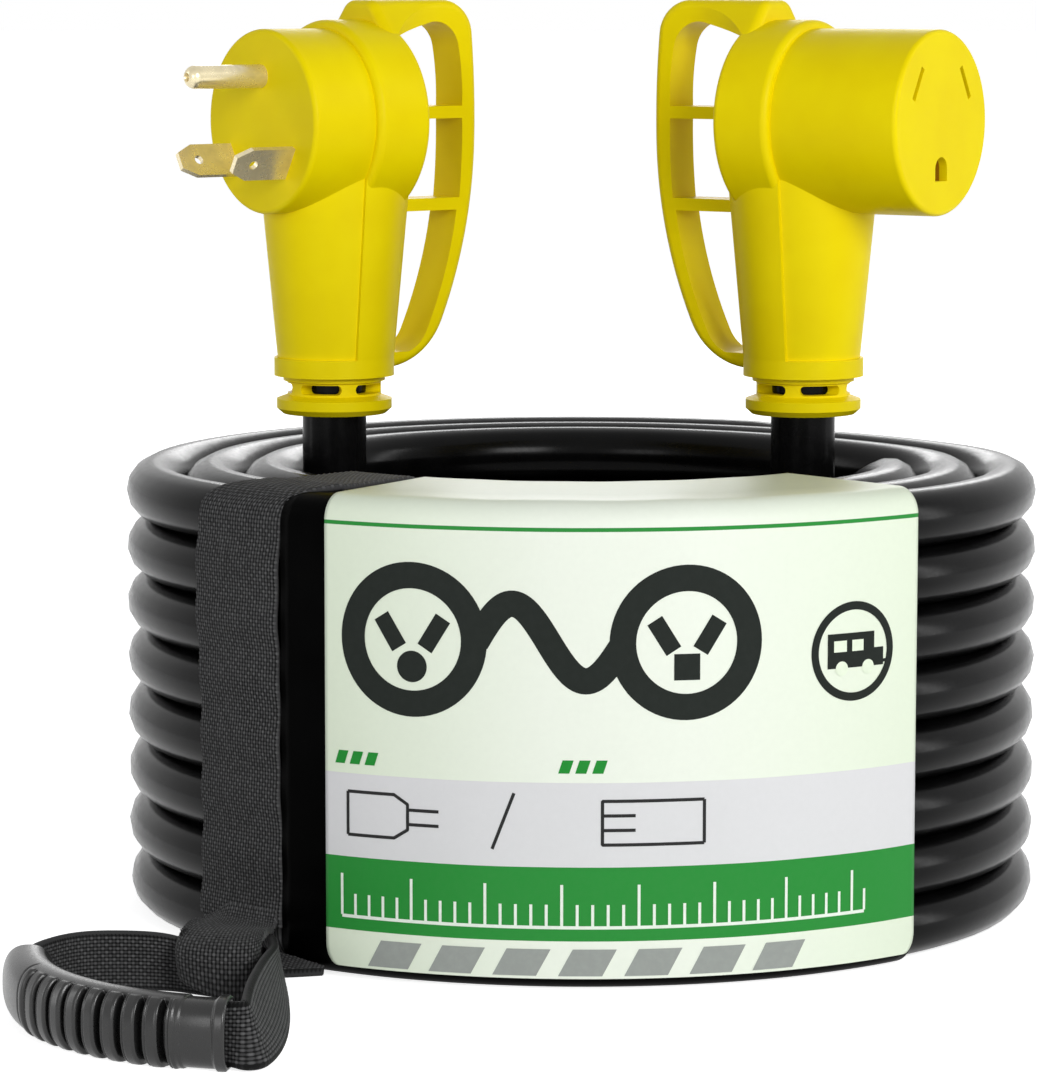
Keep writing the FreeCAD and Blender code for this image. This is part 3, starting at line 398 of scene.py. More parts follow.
def grid_faces(rows, columns, wrap_rows=False, wrap_columns=False, offset=0):
    """Quads of a grid of points, closed on itself where a wrap is asked for."""
    index = np.arange(rows * columns).reshape(rows, columns) + offset
    if wrap_rows:
        index = np.vstack([index, index[:1]])
    if wrap_columns:
        index = np.hstack([index, index[:, :1]])
    return np.stack([index[:-1, :-1], index[1:, :-1], index[1:, 1:], index[:-1, 1:]],
                    axis=-1).reshape(-1, 4)


def surface(name, points, wrap_rows=False, wrap_columns=False, attributes=(), flip=False):
    """Object of one grid of points, shaped (rows, columns, 3).

    A grid closed both ways is turned so that its volume, the sum of the tetrahedra
    between its faces and the origin, is positive.
    """
    faces = grid_faces(points.shape[0], points.shape[1], wrap_rows, wrap_columns)
    if wrap_rows and wrap_columns:
        place = points.reshape(-1, 3)
        a, b, c, d = (place[faces[:, side]] for side in range(4))
        flip = np.sum(a * np.cross(b, c)) + np.sum(a * np.cross(c, d)) < 0
    if flip:
        faces = faces[:, ::-1]
    return mesh_object(name, points, faces, attributes)


def finish_piece(piece, body, slot, material, *replaced):
    """Body and material of a new piece, and the CAD nodes it stands for; the record slot is not
    used.
    """
    piece.data.materials.clear()
    piece.data.materials.append(material)
    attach(piece, body)
    if replaced:
        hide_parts(*replaced)
    return piece


def paint_node(name, material):
    """Give a carried-over CAD node its finished material."""
    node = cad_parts[name]
    node.data.materials.clear()
    node.data.materials.append(material)


def smoothstep(value):
    """3 v^2 - 2 v^3, with v held between 0 and 1."""
    value = np.clip(value, 0.0, 1.0)
    return value * value * (3.0 - 2.0 * value)


# ----------------------------------------------------------------------------- cable
# Bearings are in degrees, from +X, and fall along the cable from the plug's end.
TURN_POINTS = 16
CONTROL_REACH = 1.0 / math.cos(math.pi / TURN_POINTS)
FIRST_SHIFT, SHIFT_STEP, SHIFT_WIDTH = 159.5, 9.3, 25.0
# Group of each change of cell: a later group lies a step less round the coil.
SHIFT_GROUPS = [15] * 6 + [14, 14] + list(range(13, 0, -1)) + [0, 0]
# Middle, sweep and height of the moves from the plug's lead and to the socket's.
LEAD_IN, LEAD_IN_HEIGHT = (-16.5, 43.0), 25.2 * MM
LEAD_OUT, LEAD_OUT_HEIGHT = (197.0, 34.0), 8.6 * MM
ROUND_FROM, ROUND_TO = 100.0, 68.0
TIED_FROM, TIED_TO, TIED_BLEND = 206.0, 324.0, 12.0
PLUG_LEAD = [
    (-73.4, 0, 172), (-73.4, 0, 130), (-73.4, 0, 98), (-73.6, 14, 64), (-66, 39.5, 40),
    (-42.5, 65.5, 25.6),
]
SOCKET_LEAD = [
    (22, 66, 9.6), (47.5, 36.5, 23.5), (61.5, 14.5, 50), (65.6, 1, 86), (66, 0, 130),
    (66, 0, 172),
]


def wound_cells():
    """Cells of the coil in winding order, as (layer, level), layer 0 the inner one.

    The cable climbs the inner layer, crosses the top and then fills the two outer
    layers downwards in pairs, and ends at the foot of the inner layer.
    """
    top = LEVELS - 1
    cells = [(0, level) for level in range(1, LEVELS)] + [(1, top), (2, top)]
    for level in range(top - 1, -1, -1):
        near_first = (level % 2 == 1)
        pair = [(1, level), (2, level)] if near_first else [(2, level), (1, level)]
        cells += pair
    return cells


def cell_place(layer, level):
    """Radius and height of a cell of the coil."""
    cable = sizes()[0]
    inner = cable.outer_radius - 2 * cable.layer_pitch
    return inner + layer * cable.layer_pitch, cable.diameter * (level + 0.5)


def wound_radius_height(bearing):
    """Radius and height of the cable's centre line at an unwrapped bearing.

    Each change of cell is added as its size times a smooth step over a short sweep,
    so the line is the lead's circle plus the sum of the steps already passed.
    """
    lead = sizes()[0].lead_radius
    places = [cell_place(*cell) for cell in wound_cells() + [(0, 0)]]
    first, last = places[0], places[-1]
    moves = [(*LEAD_IN, (first[0] - lead, first[1] - LEAD_IN_HEIGHT))]
    for index, group in enumerate(SHIFT_GROUPS):
        here, there = places[index], places[index + 1]
        middle = FIRST_SHIFT - SHIFT_STEP * group - 360.0 * (index + 1)
        moves.append((middle, SHIFT_WIDTH, (there[0] - here[0], there[1] - here[1])))
    moves.append((LEAD_OUT[0] - 360.0 * TURNS, LEAD_OUT[1],
                  (lead - last[0], LEAD_OUT_HEIGHT - last[1])))
    radius = np.full_like(bearing, lead)
    height = np.full_like(bearing, LEAD_IN_HEIGHT)
    for middle, width, change in moves:
        share = smoothstep((middle + width / 2 - bearing) / width)
        radius, height = radius + share * change[0], height + share * change[1]
    return radius, height


def cable_route():
    """Control points of the cable's line, from the plug down, round and up again."""
    cable = sizes()[0]
    bearing = np.arange(ROUND_FROM, ROUND_TO - 360.0 * TURNS, -360.0 / TURN_POINTS)
    radius, height = wound_radius_height(bearing)
    turn = np.mod(bearing, 360.0)
    tied = (smoothstep((turn - TIED_FROM) / TIED_BLEND)
            * smoothstep((TIED_TO - turn) / TIED_BLEND))
    inside = radius < cable.lead_radius + 1 * MM
    height = height + cable.lift * tied * np.where(inside, 0.0, 1.0)
    sway = 0.12 * MM * np.sin(np.radians(turn * 3.0) + bearing * 0.013)
    reach = (radius + sway) * CONTROL_REACH
    way = np.radians(turn)
    ring = np.stack([reach * np.cos(way), reach * np.sin(way), height], axis=1)
    down, up = np.array(PLUG_LEAD) * MM, np.array(SOCKET_LEAD) * MM
    return np.vstack([down, ring, up])


class SHORE_OT_cable(bpy.types.Operator):
    """Wind the whole cable as one line, from the plug's boot to the socket's"""
    bl_idname = "shore.cable"
    bl_label = "Cable"

    def execute(self, context):
        cable = sizes()[0]
        route = cable_route()
        line = bpy.data.curves.new("cable", "CURVE")
        line.dimensions = "3D"
        line.bevel_depth = cable.diameter / 2
        line.bevel_resolution = 5
        line.use_fill_caps = True
        spline = line.splines.new("NURBS")
        spline.points.add(len(route) - 1)
        spline.points.foreach_set(
            "co", np.hstack([route, np.ones((len(route), 1))]).ravel())
        spline.order_u = 3
        spline.use_endpoint_u = True
        spline.resolution_u = 5
        spline.use_smooth = True
        piece = bpy.data.objects.new("cable", line)
        context.collection.objects.link(piece)
        finish_piece(piece, "bundle", "cable_jacket", jacket_black(cable), "cable_coil",
                     "cable_plug_lead", "cable_socket_lead")
        return {"FINISHED"}


# --------------------------------------------------------------------------- webbing
YARN = 1.06 * MM
CELLS = 3
PICK = YARN / CELLS
WEAVE_DEPTH = 0.40 * MM


def weave(across, along, seed):
    """Height, 0 to 1, of a plain weave, from places counted in yarns.

    A warp yarn is a rounded ridge along the strap that rises over one pick and dips
    under the next, opposite to its neighbours; the weft is the same turned a quarter
    and lies lower.  The higher of the two shows, and each crossing is a little fuller
    or thinner than the next.
    """
    ridge = np.abs(np.sin(np.pi * across)) ** 0.6
    furrow = np.abs(np.sin(np.pi * along)) ** 0.6
    column = np.floor(across + 1e-6).astype(int)
    row = np.floor(along + 1e-6).astype(int)
    over = ridge * (0.5 + 0.5 * np.where(column % 2 == 0, 1.0, -1.0) * np.sin(np.pi * along))
    under = furrow * (0.5 - 0.5 * np.where(row % 2 == 0, 1.0, -1.0) * np.sin(np.pi * across))
    columns, rows = 97, 89
    fullness = np.random.default_rng(seed).uniform(0.84, 1.08, (columns, rows))
    return np.maximum(over, 0.70 * under) * fullness[column % columns, row % rows]


def painted_weave_shade(relief, face):
    """Attribute for the yarns' painted shade and highlight: the weave's height on a woven face,
    middling at an edge.
    """
    return relief * face + 0.5 * (1 - face)


def strip_section(width, thick, yarns, back_cells):
    """Cross-section of a webbing strip as a closed loop: offset across and out, in the
    strip's own size, side (1 on a woven face, 0 elsewhere) and the yarn count across."""
    cells = yarns * CELLS
    front = np.linspace(-0.5, 0.5, cells + 1)
    back = np.linspace(0.5, -0.5, back_cells + 1)
    turn = np.radians(np.linspace(90, -90, 7)[1:-1])
    edge = thick / 2
    flat = width - thick
    across = np.concatenate([
        front * flat, flat / 2 + edge * np.cos(turn), back * flat,
        -flat / 2 - edge * np.cos(turn)])
    out = np.concatenate([
        np.full(cells + 1, edge), edge * np.sin(turn),
        np.full(back_cells + 1, -edge), -edge * np.sin(turn)])
    woven_back = 1.0 if back_cells == cells else 0.0
    face = np.concatenate([
        np.ones(cells + 1), np.clip(np.sin(turn), 0, 1),
        np.full(back_cells + 1, woven_back), np.clip(-np.sin(turn), 0, 1)])
    count = (across / flat + 0.5) * yarns
    return across, out, face, count


def rounded_rectangle(inner, outer, low, high, corner, spacing):
    """Points and outward normals round a rounded rectangle in (radius, height), from
    the foot of its outer side upwards; spacing(arc length) gives the step there."""
    centres = [((outer - corner, high - corner), 0), ((inner + corner, high - corner), 90),
               ((inner + corner, low + corner), 180), ((outer - corner, low + corner), 270)]
    fine, normals = [], []
    place = np.array([outer, low + corner])
    fine.append(place)
    normals.append((1.0, 0.0))
    for centre, start in centres:
        turn = np.radians(np.linspace(start, start + 90, 40))
        ring = np.array(centre) + corner * np.stack([np.cos(turn), np.sin(turn)], axis=1)
        side = np.linspace(fine[-1], ring[0], 400)[1:]
        fine += list(side) + list(ring[1:])
        normals += [(np.cos(turn[0]), np.sin(turn[0]))] * len(side)
        normals += list(np.stack([np.cos(turn), np.sin(turn)], axis=1)[1:])
    fine, normals = np.array(fine), np.array(normals)
    distance = np.concatenate([[0], np.cumsum(np.linalg.norm(np.diff(fine, axis=0), axis=1))])
    at, stations = 0.0, []
    while at < distance[-1] - 1e-6:
        stations.append(at)
        at += spacing(at)
    stations = np.array(stations)
    pick = [np.interp(stations, distance, column) for column in (*fine.T, *normals.T)]
    normal = np.stack(pick[2:], axis=1)
    normal /= np.linalg.norm(normal, axis=1, keepdims=True)
    return np.stack(pick[:2], axis=1), normal, stations


# Over the top the strap turns towards the card and is drawn in.
OVER_TOP_SHIFT, OVER_TOP_NARROW = math.radians(6.0), 0.20
STRAP_CORNER = 11 * MM
# Past this far over the top the strap is hidden, and is woven in coarser steps.
STRAP_SEEN, UNSEEN_STEP = 62 * MM, 2.5 * MM
# Along the strap from its foot: where it starts to go over the top, and where it ends.
OVER_FROM, OVER_RISE, OVER_TO, OVER_FALL = 116 * MM, 22 * MM, 330 * MM, 70 * MM
# Height, length over 2 pi and phase of the sines that sway and pinch the strap.
SWAY_LONG, SWAY_SHORT = (0.9 * MM, 21 * MM, 0.6), (0.5 * MM, 8.3 * MM, 0.0)
PINCH = (0.025, 17 * MM, 2.0)
# How far each turn presses the strap out, and over what length its ends lie still.
PRESSED_OUT, STILL_END = 0.35 * MM, 30 * MM


def sine(run, high, reach, phase):
    """Sine along the strap, by its height, its length over 2 pi and its phase."""
    return high * np.sin(run / reach + phase)


class SHORE_OT_strap(bpy.types.Operator):
    """Weave the strap that holds the turns together"""
    bl_idname = "shore.strap"
    bl_label = "Strap"

    def execute(self, context):
        cable, ties, _ = sizes()
        thick = ties.webbing_thick
        outer = coil_face() + ties.band - thick
        high = turns_top() + FILM_LIFT
        seen = high + STRAP_SEEN
        path, normal, along = rounded_rectangle(
            coil_bore() - thick / 2, outer + thick / 2, thick / 2, high + thick / 2,
            STRAP_CORNER, lambda at: PICK if at < seen else UNSEEN_STEP)
        middle = (ties.strap_from + ties.strap_to) / 2
        width = (ties.strap_to - ties.strap_from) * (outer + thick)
        yarns = round((width - thick) / YARN)
        across, out, face, count = strip_section(width, thick, yarns, 6)
        run, aside = along[:, None], across[None, :]
        over = (smoothstep((run - OVER_FROM) / OVER_RISE)
                * smoothstep((OVER_TO - run) / OVER_FALL))
        sway = sine(run, *SWAY_LONG) + sine(run, *SWAY_SHORT)
        pinch = 1.0 + sine(run, *PINCH) - OVER_TOP_NARROW * over
        swell = PRESSED_OUT * np.cos(2 * np.pi * (run - 2 * MM) / cable.diameter)
        swell = swell * (run < high)
        picks = np.arange(len(along))[:, None] / CELLS
        relief = weave(count[None, :] + 0 * run, picks + 0 * aside, 5)
        rise = out[None, :] + WEAVE_DEPTH * (relief - 0.5) * face[None, :]
        rise = rise + (swell + PRESSED_OUT) * (out[None, :] > -thick)
        reach = path[:, 0:1] + normal[:, 0:1] * rise
        level = np.maximum(path[:, 1:2] + normal[:, 1:2] * rise, 0.0)
        free = (np.clip((run - 4 * MM) / STILL_END, 0, 1)
                * np.clip((seen - run) / STILL_END, 0, 1))
        bearing = (middle + OVER_TOP_SHIFT * over
                   + (aside * pinch + sway * free) / (outer + (reach - outer) * 0.6))
        points = np.stack([reach * np.sin(bearing), -reach * np.cos(bearing), level], axis=-1)
        piece = surface("strap", points, wrap_rows=True, wrap_columns=True,
                        attributes={"weave": painted_weave_shade(relief, face[None, :])})
        finish_piece(piece, "bundle", "webbing", woven_black(ties), "strap_webbing")
        return {"FINISHED"}


def curve_through(corners):
    """Pieces (start, mid, end) of the quadratic B-spline of the corners, which touches
    the middle of each inner side and starts and ends at the outer corners."""
    corners = np.array(corners, float)
    knots = [corners[0], *((corners[1:-2] + corners[2:-1]) / 2), corners[-1]]
    return zip(knots[:-1], corners[1:-1], knots[1:])


def curve_points(corners, t):
    """Points of the B-spline: (1-t)^2 start + 2t(1-t) mid + t^2 end, piece by piece."""
    return np.concatenate([(1 - t) ** 2 * start + 2 * t * (1 - t) * mid + t ** 2 * end
                           for start, mid, end in curve_through(corners)])


def smooth_line(corners, step):
    """Points at even steps along the B-spline of the corners."""
    fine = curve_points(corners, np.linspace(0, 1, 60)[:, None])
    keep = np.concatenate([[True], np.linalg.norm(np.diff(fine, axis=0), axis=1) > 1e-9])
    fine = fine[keep]
    runs = np.linalg.norm(np.diff(fine[:, :3], axis=0), axis=1)
    distance = np.concatenate([[0], np.cumsum(runs)])
    stations = np.linspace(0, distance[-1], max(2, int(distance[-1] / step)))
    return np.stack([np.interp(stations, distance, column) for column in fine.T], axis=1)


HANDLE_CENTRE = np.array([-77.1, -157.4]) * MM
HANDLE_RADIUS, HANDLE_MID = 70 * MM, 9.2 * MM
HANDLE_WIDTH, HANDLE_THICK, HANDLE_YARNS = 16.5 * MM, 2.6 * MM, 14
RUBBER_START, RUBBER_SWEEP = 9.8, 75.0


def handle_arc(bearing, reach=0.0):
    """Point of the grip's arc, at bearings in degrees from -Y towards -X.

    The grip's centre, less the radius times the sine and the cosine of the bearing.
    """
    turn = np.radians(bearing)
    radius = HANDLE_RADIUS + reach
    return np.stack([HANDLE_CENTRE[0] - radius * np.sin(turn),
                     HANDLE_CENTRE[1] - radius * np.cos(turn)], axis=-1)


# Rows of a band: place of its middle (x, y, z), lean of its width from upright in
# degrees, and its width; millimetres.
OUTER_LOOP = [
    (-88, -116, 4, 0, 8), (-87, -134, 4, 15, 8), (-91, -146, 4, 25, 9),
    (-103, -142.5, 7.2, 8, 13.5), (-111.5, -139, 8.8, 0, 16.2), (-127, -138, 9, 0, 16.6),
    (-138, -141, 9, 0, 16.6), (-145.5, -154, 9.2, 0, 16.5),
]
LEAF = [
    (-82.5, -229.5, 9.2, -14, 18), (-81.2, -218.5, 9.3, -27, 18.6), (-80.8, -200, 9.2, -31, 19),
    (-80.9, -180, 8.8, -29, 17.7), (-81.4, -160, 8.1, -24, 15.5), (-82.2, -140, 7.2, -14, 12.5),
    (-83.5, -125, 6.2, -8, 10), (-85.5, -110, 6, -5, 8),
]
TAIL = [
    (-90, -113, 2.8, -76, 15), (-84, -114, 2.3, -78, 14), (-77, -115, 1.8, -80, 9),
    (-71, -116, 1.1, -82, 2),
]
# The fold at the strap's foot: the line round its belly, from left to right.
FOLD_BELLY = [
    (-108.8, -144), (-109.2, -148.5), (-106.5, -151.5), (-100, -153.5), (-92, -154.5),
    (-87.2, -152.5), (-86.2, -147),
]
FOLD_MIDDLE = np.array([-97, -120]) * MM
FOLD_THICK, FOLD_INSET = 1.6 * MM, 0.01
# Heights of the fold's corners on the strap, over the loop and down the belly.
FOLD_HEM, FOLD_ROOT, FOLD_DIP, FOLD_CREST = 20 * MM, 14 * MM, 13.5 * MM, 17 * MM
FOLD_BROW, FOLD_WAIST = 16.4 * MM, 7.5 * MM


def band(name, rows):
    """Webbing along a line of rows, woven on both faces.

    The line is smoothed, and at each step the strip's section is carried along it: its
    width stands along up * cos(lean) + side * sin(lean), and its faces look along the
    width's normal.
    """
    line = smooth_line(np.array(rows, float) * (MM, MM, MM, math.pi / 180, MM), PICK)
    ahead = np.gradient(line[:, :3], axis=0)
    ahead /= np.linalg.norm(ahead, axis=1, keepdims=True)
    flat_side = np.stack([ahead[:, 1], -ahead[:, 0], 0 * ahead[:, 0]], axis=1)
    flat_side /= np.linalg.norm(flat_side, axis=1, keepdims=True)
    lean = line[:, 3:4]
    wide = np.array([[0, 0, 1.0]]) * np.cos(lean) + flat_side * np.sin(lean)
    face_way = np.cross(wide, ahead)
    face_way *= np.sign(np.sum(face_way * flat_side, axis=1, keepdims=True))
    across, out, face, count = strip_section(HANDLE_WIDTH, HANDLE_THICK, HANDLE_YARNS,
                                             HANDLE_YARNS * CELLS)
    share = across[None, :] / HANDLE_WIDTH * line[:, 4:5]
    picks = np.arange(len(line))[:, None] / CELLS
    yarn = np.clip(count, 0, HANDLE_YARNS)[None, :]
    relief = weave(yarn + 0 * picks, picks + 0 * share, len(rows))
    depth = out[None, :] + np.sign(out[None, :]) * WEAVE_DEPTH * (relief - 0.5) * face[None, :]
    points = (line[:, None, :3] + wide[:, None, :] * share[..., None]
              + face_way[:, None, :] * depth[..., None])
    points[..., 2] = np.maximum(points[..., 2], 0.0)
    piece = surface(name, points, wrap_columns=True, flip=True,
                    attributes={"weave": painted_weave_shade(relief, face)})
    close_ends(piece)
    return piece


class SHORE_OT_handle(bpy.types.Operator):
    """Weave the handle's webbing: the loop through the grip, its fold and its tail"""
    bl_idname = "shore.handle"
    bl_label = "Handle webbing"

    def execute(self, context):
        through = handle_arc(np.linspace(RUBBER_START + RUBBER_SWEEP, RUBBER_START, 9))
        arc = [(x / MM, y / MM, HANDLE_MID / MM, 0, HANDLE_WIDTH / MM) for x, y in through]
        loop = band("handle_web", OUTER_LOOP + arc + LEAF)
        fold, tail = strap_fold(), band("handle_tail", TAIL)
        for piece in (loop, fold):
            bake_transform(piece)
        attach(tail, "bundle")
        for piece in (loop, fold, tail):
            piece.data.materials.append(bpy.data.materials["woven_black"])
        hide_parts("handle_webbing")
        return {"FINISHED"}


def strap_fold():
    """Webbing folded out at the strap's foot.

    Each column hangs from the strap's face, runs out over the loop, round the belly
    and in again to its foot; the columns are spread evenly along the belly, and both
    ways the surface is the quadratic B-spline of its corners.
    """
    ties = sizes()[1]
    belly = smooth_line(np.array(FOLD_BELLY) * MM, PICK)
    share = np.linspace(0, 1, len(belly))[:, None]
    bearing = ((ties.strap_from + FOLD_INSET) * (1 - share)
               + (ties.strap_to - FOLD_INSET) * share)
    way = np.hstack([np.sin(bearing), -np.cos(bearing)])
    face = way * (coil_face() + ties.band)
    tucked = FOLD_MIDDLE + (belly - FOLD_MIDDLE) * 0.95
    full = FOLD_MIDDLE + (belly - FOLD_MIDDLE) * 1.02
    foot = 5.5 * MM * (1 - smoothstep(share * 1.5)) + 0.8 * MM
    rising = 0.66 + 0.34 * smoothstep(share * 2.2)

    def row(flat, level):
        """Row of corners, one for each column, at a level."""
        return np.hstack([flat, level + 0 * share])

    corners = [row(face - way * 0.8 * MM, FOLD_HEM * rising),
               row(face + way * 0.8 * MM, FOLD_ROOT * rising),
               row(face * 0.75 + belly * 0.25, FOLD_DIP),
               row(face * 0.35 + belly * 0.65, FOLD_CREST),
               row(full, FOLD_BROW), row(full, FOLD_WAIST + foot * 0.4), row(tucked, foot)]
    sheet = curve_points(corners, np.linspace(0, 1, 22)[:, None, None])
    down, along = np.meshgrid(np.arange(sheet.shape[0]), np.arange(sheet.shape[1]),
                              indexing="ij")
    relief = weave(along / CELLS, down / CELLS, 11)
    normal = np.cross(np.gradient(sheet, axis=1), np.gradient(sheet, axis=0))
    normal /= np.linalg.norm(normal, axis=2, keepdims=True) + 1e-12
    normal *= np.sign(np.sum(normal[..., :2] * (sheet[..., :2] - FOLD_MIDDLE), axis=2).mean())
    sheet = sheet + normal * 0.35 * MM * (relief - 0.5)[..., None]
    # The weave attribute sets the fold's painted shade and highlight.
    piece = surface("strap_fold", sheet, attributes={"weave": relief})
    merge_doubles(piece)
    wall = piece.modifiers.new("thickness", "SOLIDIFY")
    wall.thickness = FOLD_THICK
    wall.offset = -1.0
    return piece


def merge_doubles(piece):
    """Join the points that lie on one another."""
    mesh = bmesh.new()
    mesh.from_mesh(piece.data)
    bmesh.ops.remove_doubles(mesh, verts=mesh.verts, dist=1e-6)
    mesh.to_mesh(piece.data)
    mesh.free()


def close_ends(piece):
    """Fill the open loops at the ends of a swept piece, and face it outwards."""
    mesh = bmesh.new()
    mesh.from_mesh(piece.data)
    rims = [edge for edge in mesh.edges if edge.is_boundary]
    bmesh.ops.holes_fill(mesh, edges=rims, sides=0)
    bmesh.ops.recalc_face_normals(mesh, faces=mesh.faces)
    mesh.to_mesh(piece.data)
    mesh.free()


# ------------------------------------------------------------------------ carry grip
# Places along the grip are degrees of its arc, from its right-hand mouth.
GRIP_HALF_DEEP, GRIP_HALF_HIGH = 6.5 * MM, 9.0 * MM
GRIP_SQUARENESS = 2.5
SLOTS_FROM, SLOTS_TO, SLOTS = 9.6, 53.9, 9
SLOT_DEEP, BAR_CROWN = 3.1 * MM, 0.45 * MM
MOUTH_ROUND, BORE_WALL, BORE_DEEP = 0.8 * MM, 1.7 * MM, 6 * MM
LIP_HIGH, LIP_TO, STEP_HIGH, STEP_FROM = 0.8 * MM, 2.2, 0.45 * MM, 8.4
# Middle and breadth of each bar's crease, as shares of the slots' pitch.
CREASE_DEEP, CREASE_AT, CREASE_WIDE = 0.6 * MM, 0.22, 0.035
# How far past the last slot the line lies, and its breadth.
LINE_DEEP, LINE_PAST, LINE_WIDE = 0.35 * MM, 1.1, 0.28


def grip_relief(run, turn):
    """How far the grip's skin stands out, by the place along it and the turn round it.

    A lip at the mouth and a step before the slots stand out. Between the slots' ends,
    on the outer side, a sine of the place opens the slots and crowns the bars between
    them; a narrow bell makes the crease in each bar and the line past the last slot.
    """
    pitch = (SLOTS_TO - SLOTS_FROM) / SLOTS
    inside = smoothstep((run - SLOTS_FROM) / 0.5) * smoothstep((SLOTS_TO - run) / 0.5)
    groove = np.abs(np.sin(np.pi * ((run - SLOTS_FROM) / pitch + 0.5)))
    rib = smoothstep((groove - 0.36) / 0.18)
    outer = smoothstep((np.cos(turn) - 0.02) / 0.12)
    below_top = smoothstep((np.sin(0.90 * np.pi / 2) - 0.05 - np.sin(turn)) / 0.05)
    slots = inside * outer * below_top
    crown = BAR_CROWN * smoothstep((groove - 0.35) / 0.5)
    share = np.mod((run - SLOTS_FROM) / pitch, 1.0)
    crease = CREASE_DEEP * np.exp(-((share - CREASE_AT) / CREASE_WIDE) ** 2)
    end_line = LINE_DEEP * np.exp(-((run - SLOTS_TO - LINE_PAST) / LINE_WIDE) ** 2) * outer
    cut = slots * ((1 - rib) * SLOT_DEEP - rib * crown + crease) + end_line
    lip = LIP_HIGH * smoothstep((LIP_TO - run) / 0.9)
    step = STEP_HIGH * smoothstep((run - STEP_FROM) / 0.5)
    return lip + step - cut


class SHORE_OT_grip(bpy.types.Operator):
    """Mould the ribbed rubber grip of the carry handle"""
    bl_idname = "shore.grip"
    bl_label = "Carry grip"

    def execute(self, context):
        rows, columns = 560, 120
        run = np.linspace(0, RUBBER_SWEEP, rows)[:, None]
        turn = np.linspace(0, 2 * np.pi, columns, endpoint=False)[None, :]
        power = 2 / GRIP_SQUARENESS
        deep = GRIP_HALF_DEEP * np.sign(np.cos(turn)) * np.abs(np.cos(turn)) ** power
        up = GRIP_HALF_HIGH * np.sign(np.sin(turn)) * np.abs(np.sin(turn)) ** power
        slope_deep, slope_up = deep / GRIP_HALF_DEEP ** 2, up / GRIP_HALF_HIGH ** 2
        offset = grip_relief(run, turn) / (np.hypot(slope_deep, slope_up) + 1e-9)
        flat = handle_arc(RUBBER_START + run, deep + offset * slope_deep)
        level = np.maximum(HANDLE_MID + up + offset * slope_up, 0.05 * MM)
        skin = np.concatenate([flat, level[..., None]], axis=-1)
        points = np.concatenate([mouth_rings(skin[0], -1)[::-1], skin,
                                 mouth_rings(skin[-1], 1)])
        piece = surface("carry_grip_rubber", points, wrap_columns=True)
        close_ends(piece)
        finish_piece(piece, "carry_handle", "grip_rubber", rubber_black(), "carry_grip")
        return {"FINISHED"}


def mouth_rings(rim, way):
    """Rings that round the tube's rim over and lead a little way into its bore.

    Each ring is the rim drawn in by r (1 - cos) and moved ahead by r sin of a half
    turn; the last one lies inside the bore.
    """
    centre = rim.mean(axis=0)
    radial = np.array([centre[0] - HANDLE_CENTRE[0], centre[1] - HANDLE_CENTRE[1], 0.0])
    radial /= np.linalg.norm(radial)
    ahead = np.array([radial[1], -radial[0], 0.0]) * way
    out = rim - centre
    unit = out / np.linalg.norm(out, axis=1, keepdims=True)
    turn = np.radians(np.linspace(12, 180, 12))[:, None, None]
    rounded = (rim - unit * MOUTH_ROUND * (1 - np.cos(turn))
               + ahead * MOUTH_ROUND * np.sin(turn))
    return np.concatenate([rounded, [rim - unit * BORE_WALL - ahead * BORE_DEEP]])


# ------------------------------------------------------------------------------ film
FILM_CORNER, FILM_STEP = 8.5 * MM, 1.2 * MM


class SHORE_OT_wrap(bpy.types.Operator):
    """Wrap the black film round the turns that the card covers"""
    bl_idname = "shore.wrap"
    bl_label = "Wrap film"

    def execute(self, context):
        cable, ties, _ = sizes()
        path, normal, _ = rounded_rectangle(
            coil_bore() - ties.film_thick, coil_face() + ties.band, 0.0, film_top(),
            FILM_CORNER, lambda at: FILM_STEP)
        side = np.clip(normal[:, :1], 0, 1)
        ripple = 0.12 * MM * np.cos(2 * np.pi * path[:, 1:] / cable.diameter) * side
        skin = path + normal * ripple
        wall = ties.film_thick - 0.1 * MM + (ties.band - ties.film_thick - 0.2 * MM) * side
        back = path - normal * wall
        bearing = np.linspace(ties.wrap_from, ties.wrap_to, 60)[None, :]

        def ring(profile, turn):
            """The profile's points carried round the coil's axis."""
            reach, level = profile[:, :1], profile[:, 1:]
            return np.stack([reach * np.sin(turn), -reach * np.cos(turn), level + 0 * turn],
                            axis=-1)

        points = np.concatenate([ring(skin, bearing), ring(back, bearing[:, ::-1])], axis=1)
        piece = surface("wrap_film", points, wrap_rows=True, wrap_columns=True)
        finish_piece(piece, "bundle", "wrap_film", smooth_film(), "bundle_wrap")
        return {"FINISHED"}


# ------------------------------------------------------------------------------ card
CARD_FOOT, CARD_BACK, CARD_CORNER = 4.0 * MM, 87 * MM, 7.2 * MM
CARD_THICK, CARD_TRIM, CARD_TRIM_HIGH = 0.8 * MM, 4.0 * MM, 6 * MM
CARD_BEND = CARD_CORNER * math.pi / 2


def card_profile():
    """Radius of the card's face and height of its top."""
    face = coil_face() + sizes()[1].band + 0.15 * MM + CARD_THICK
    return face, film_top() + 0.1 * MM + CARD_THICK


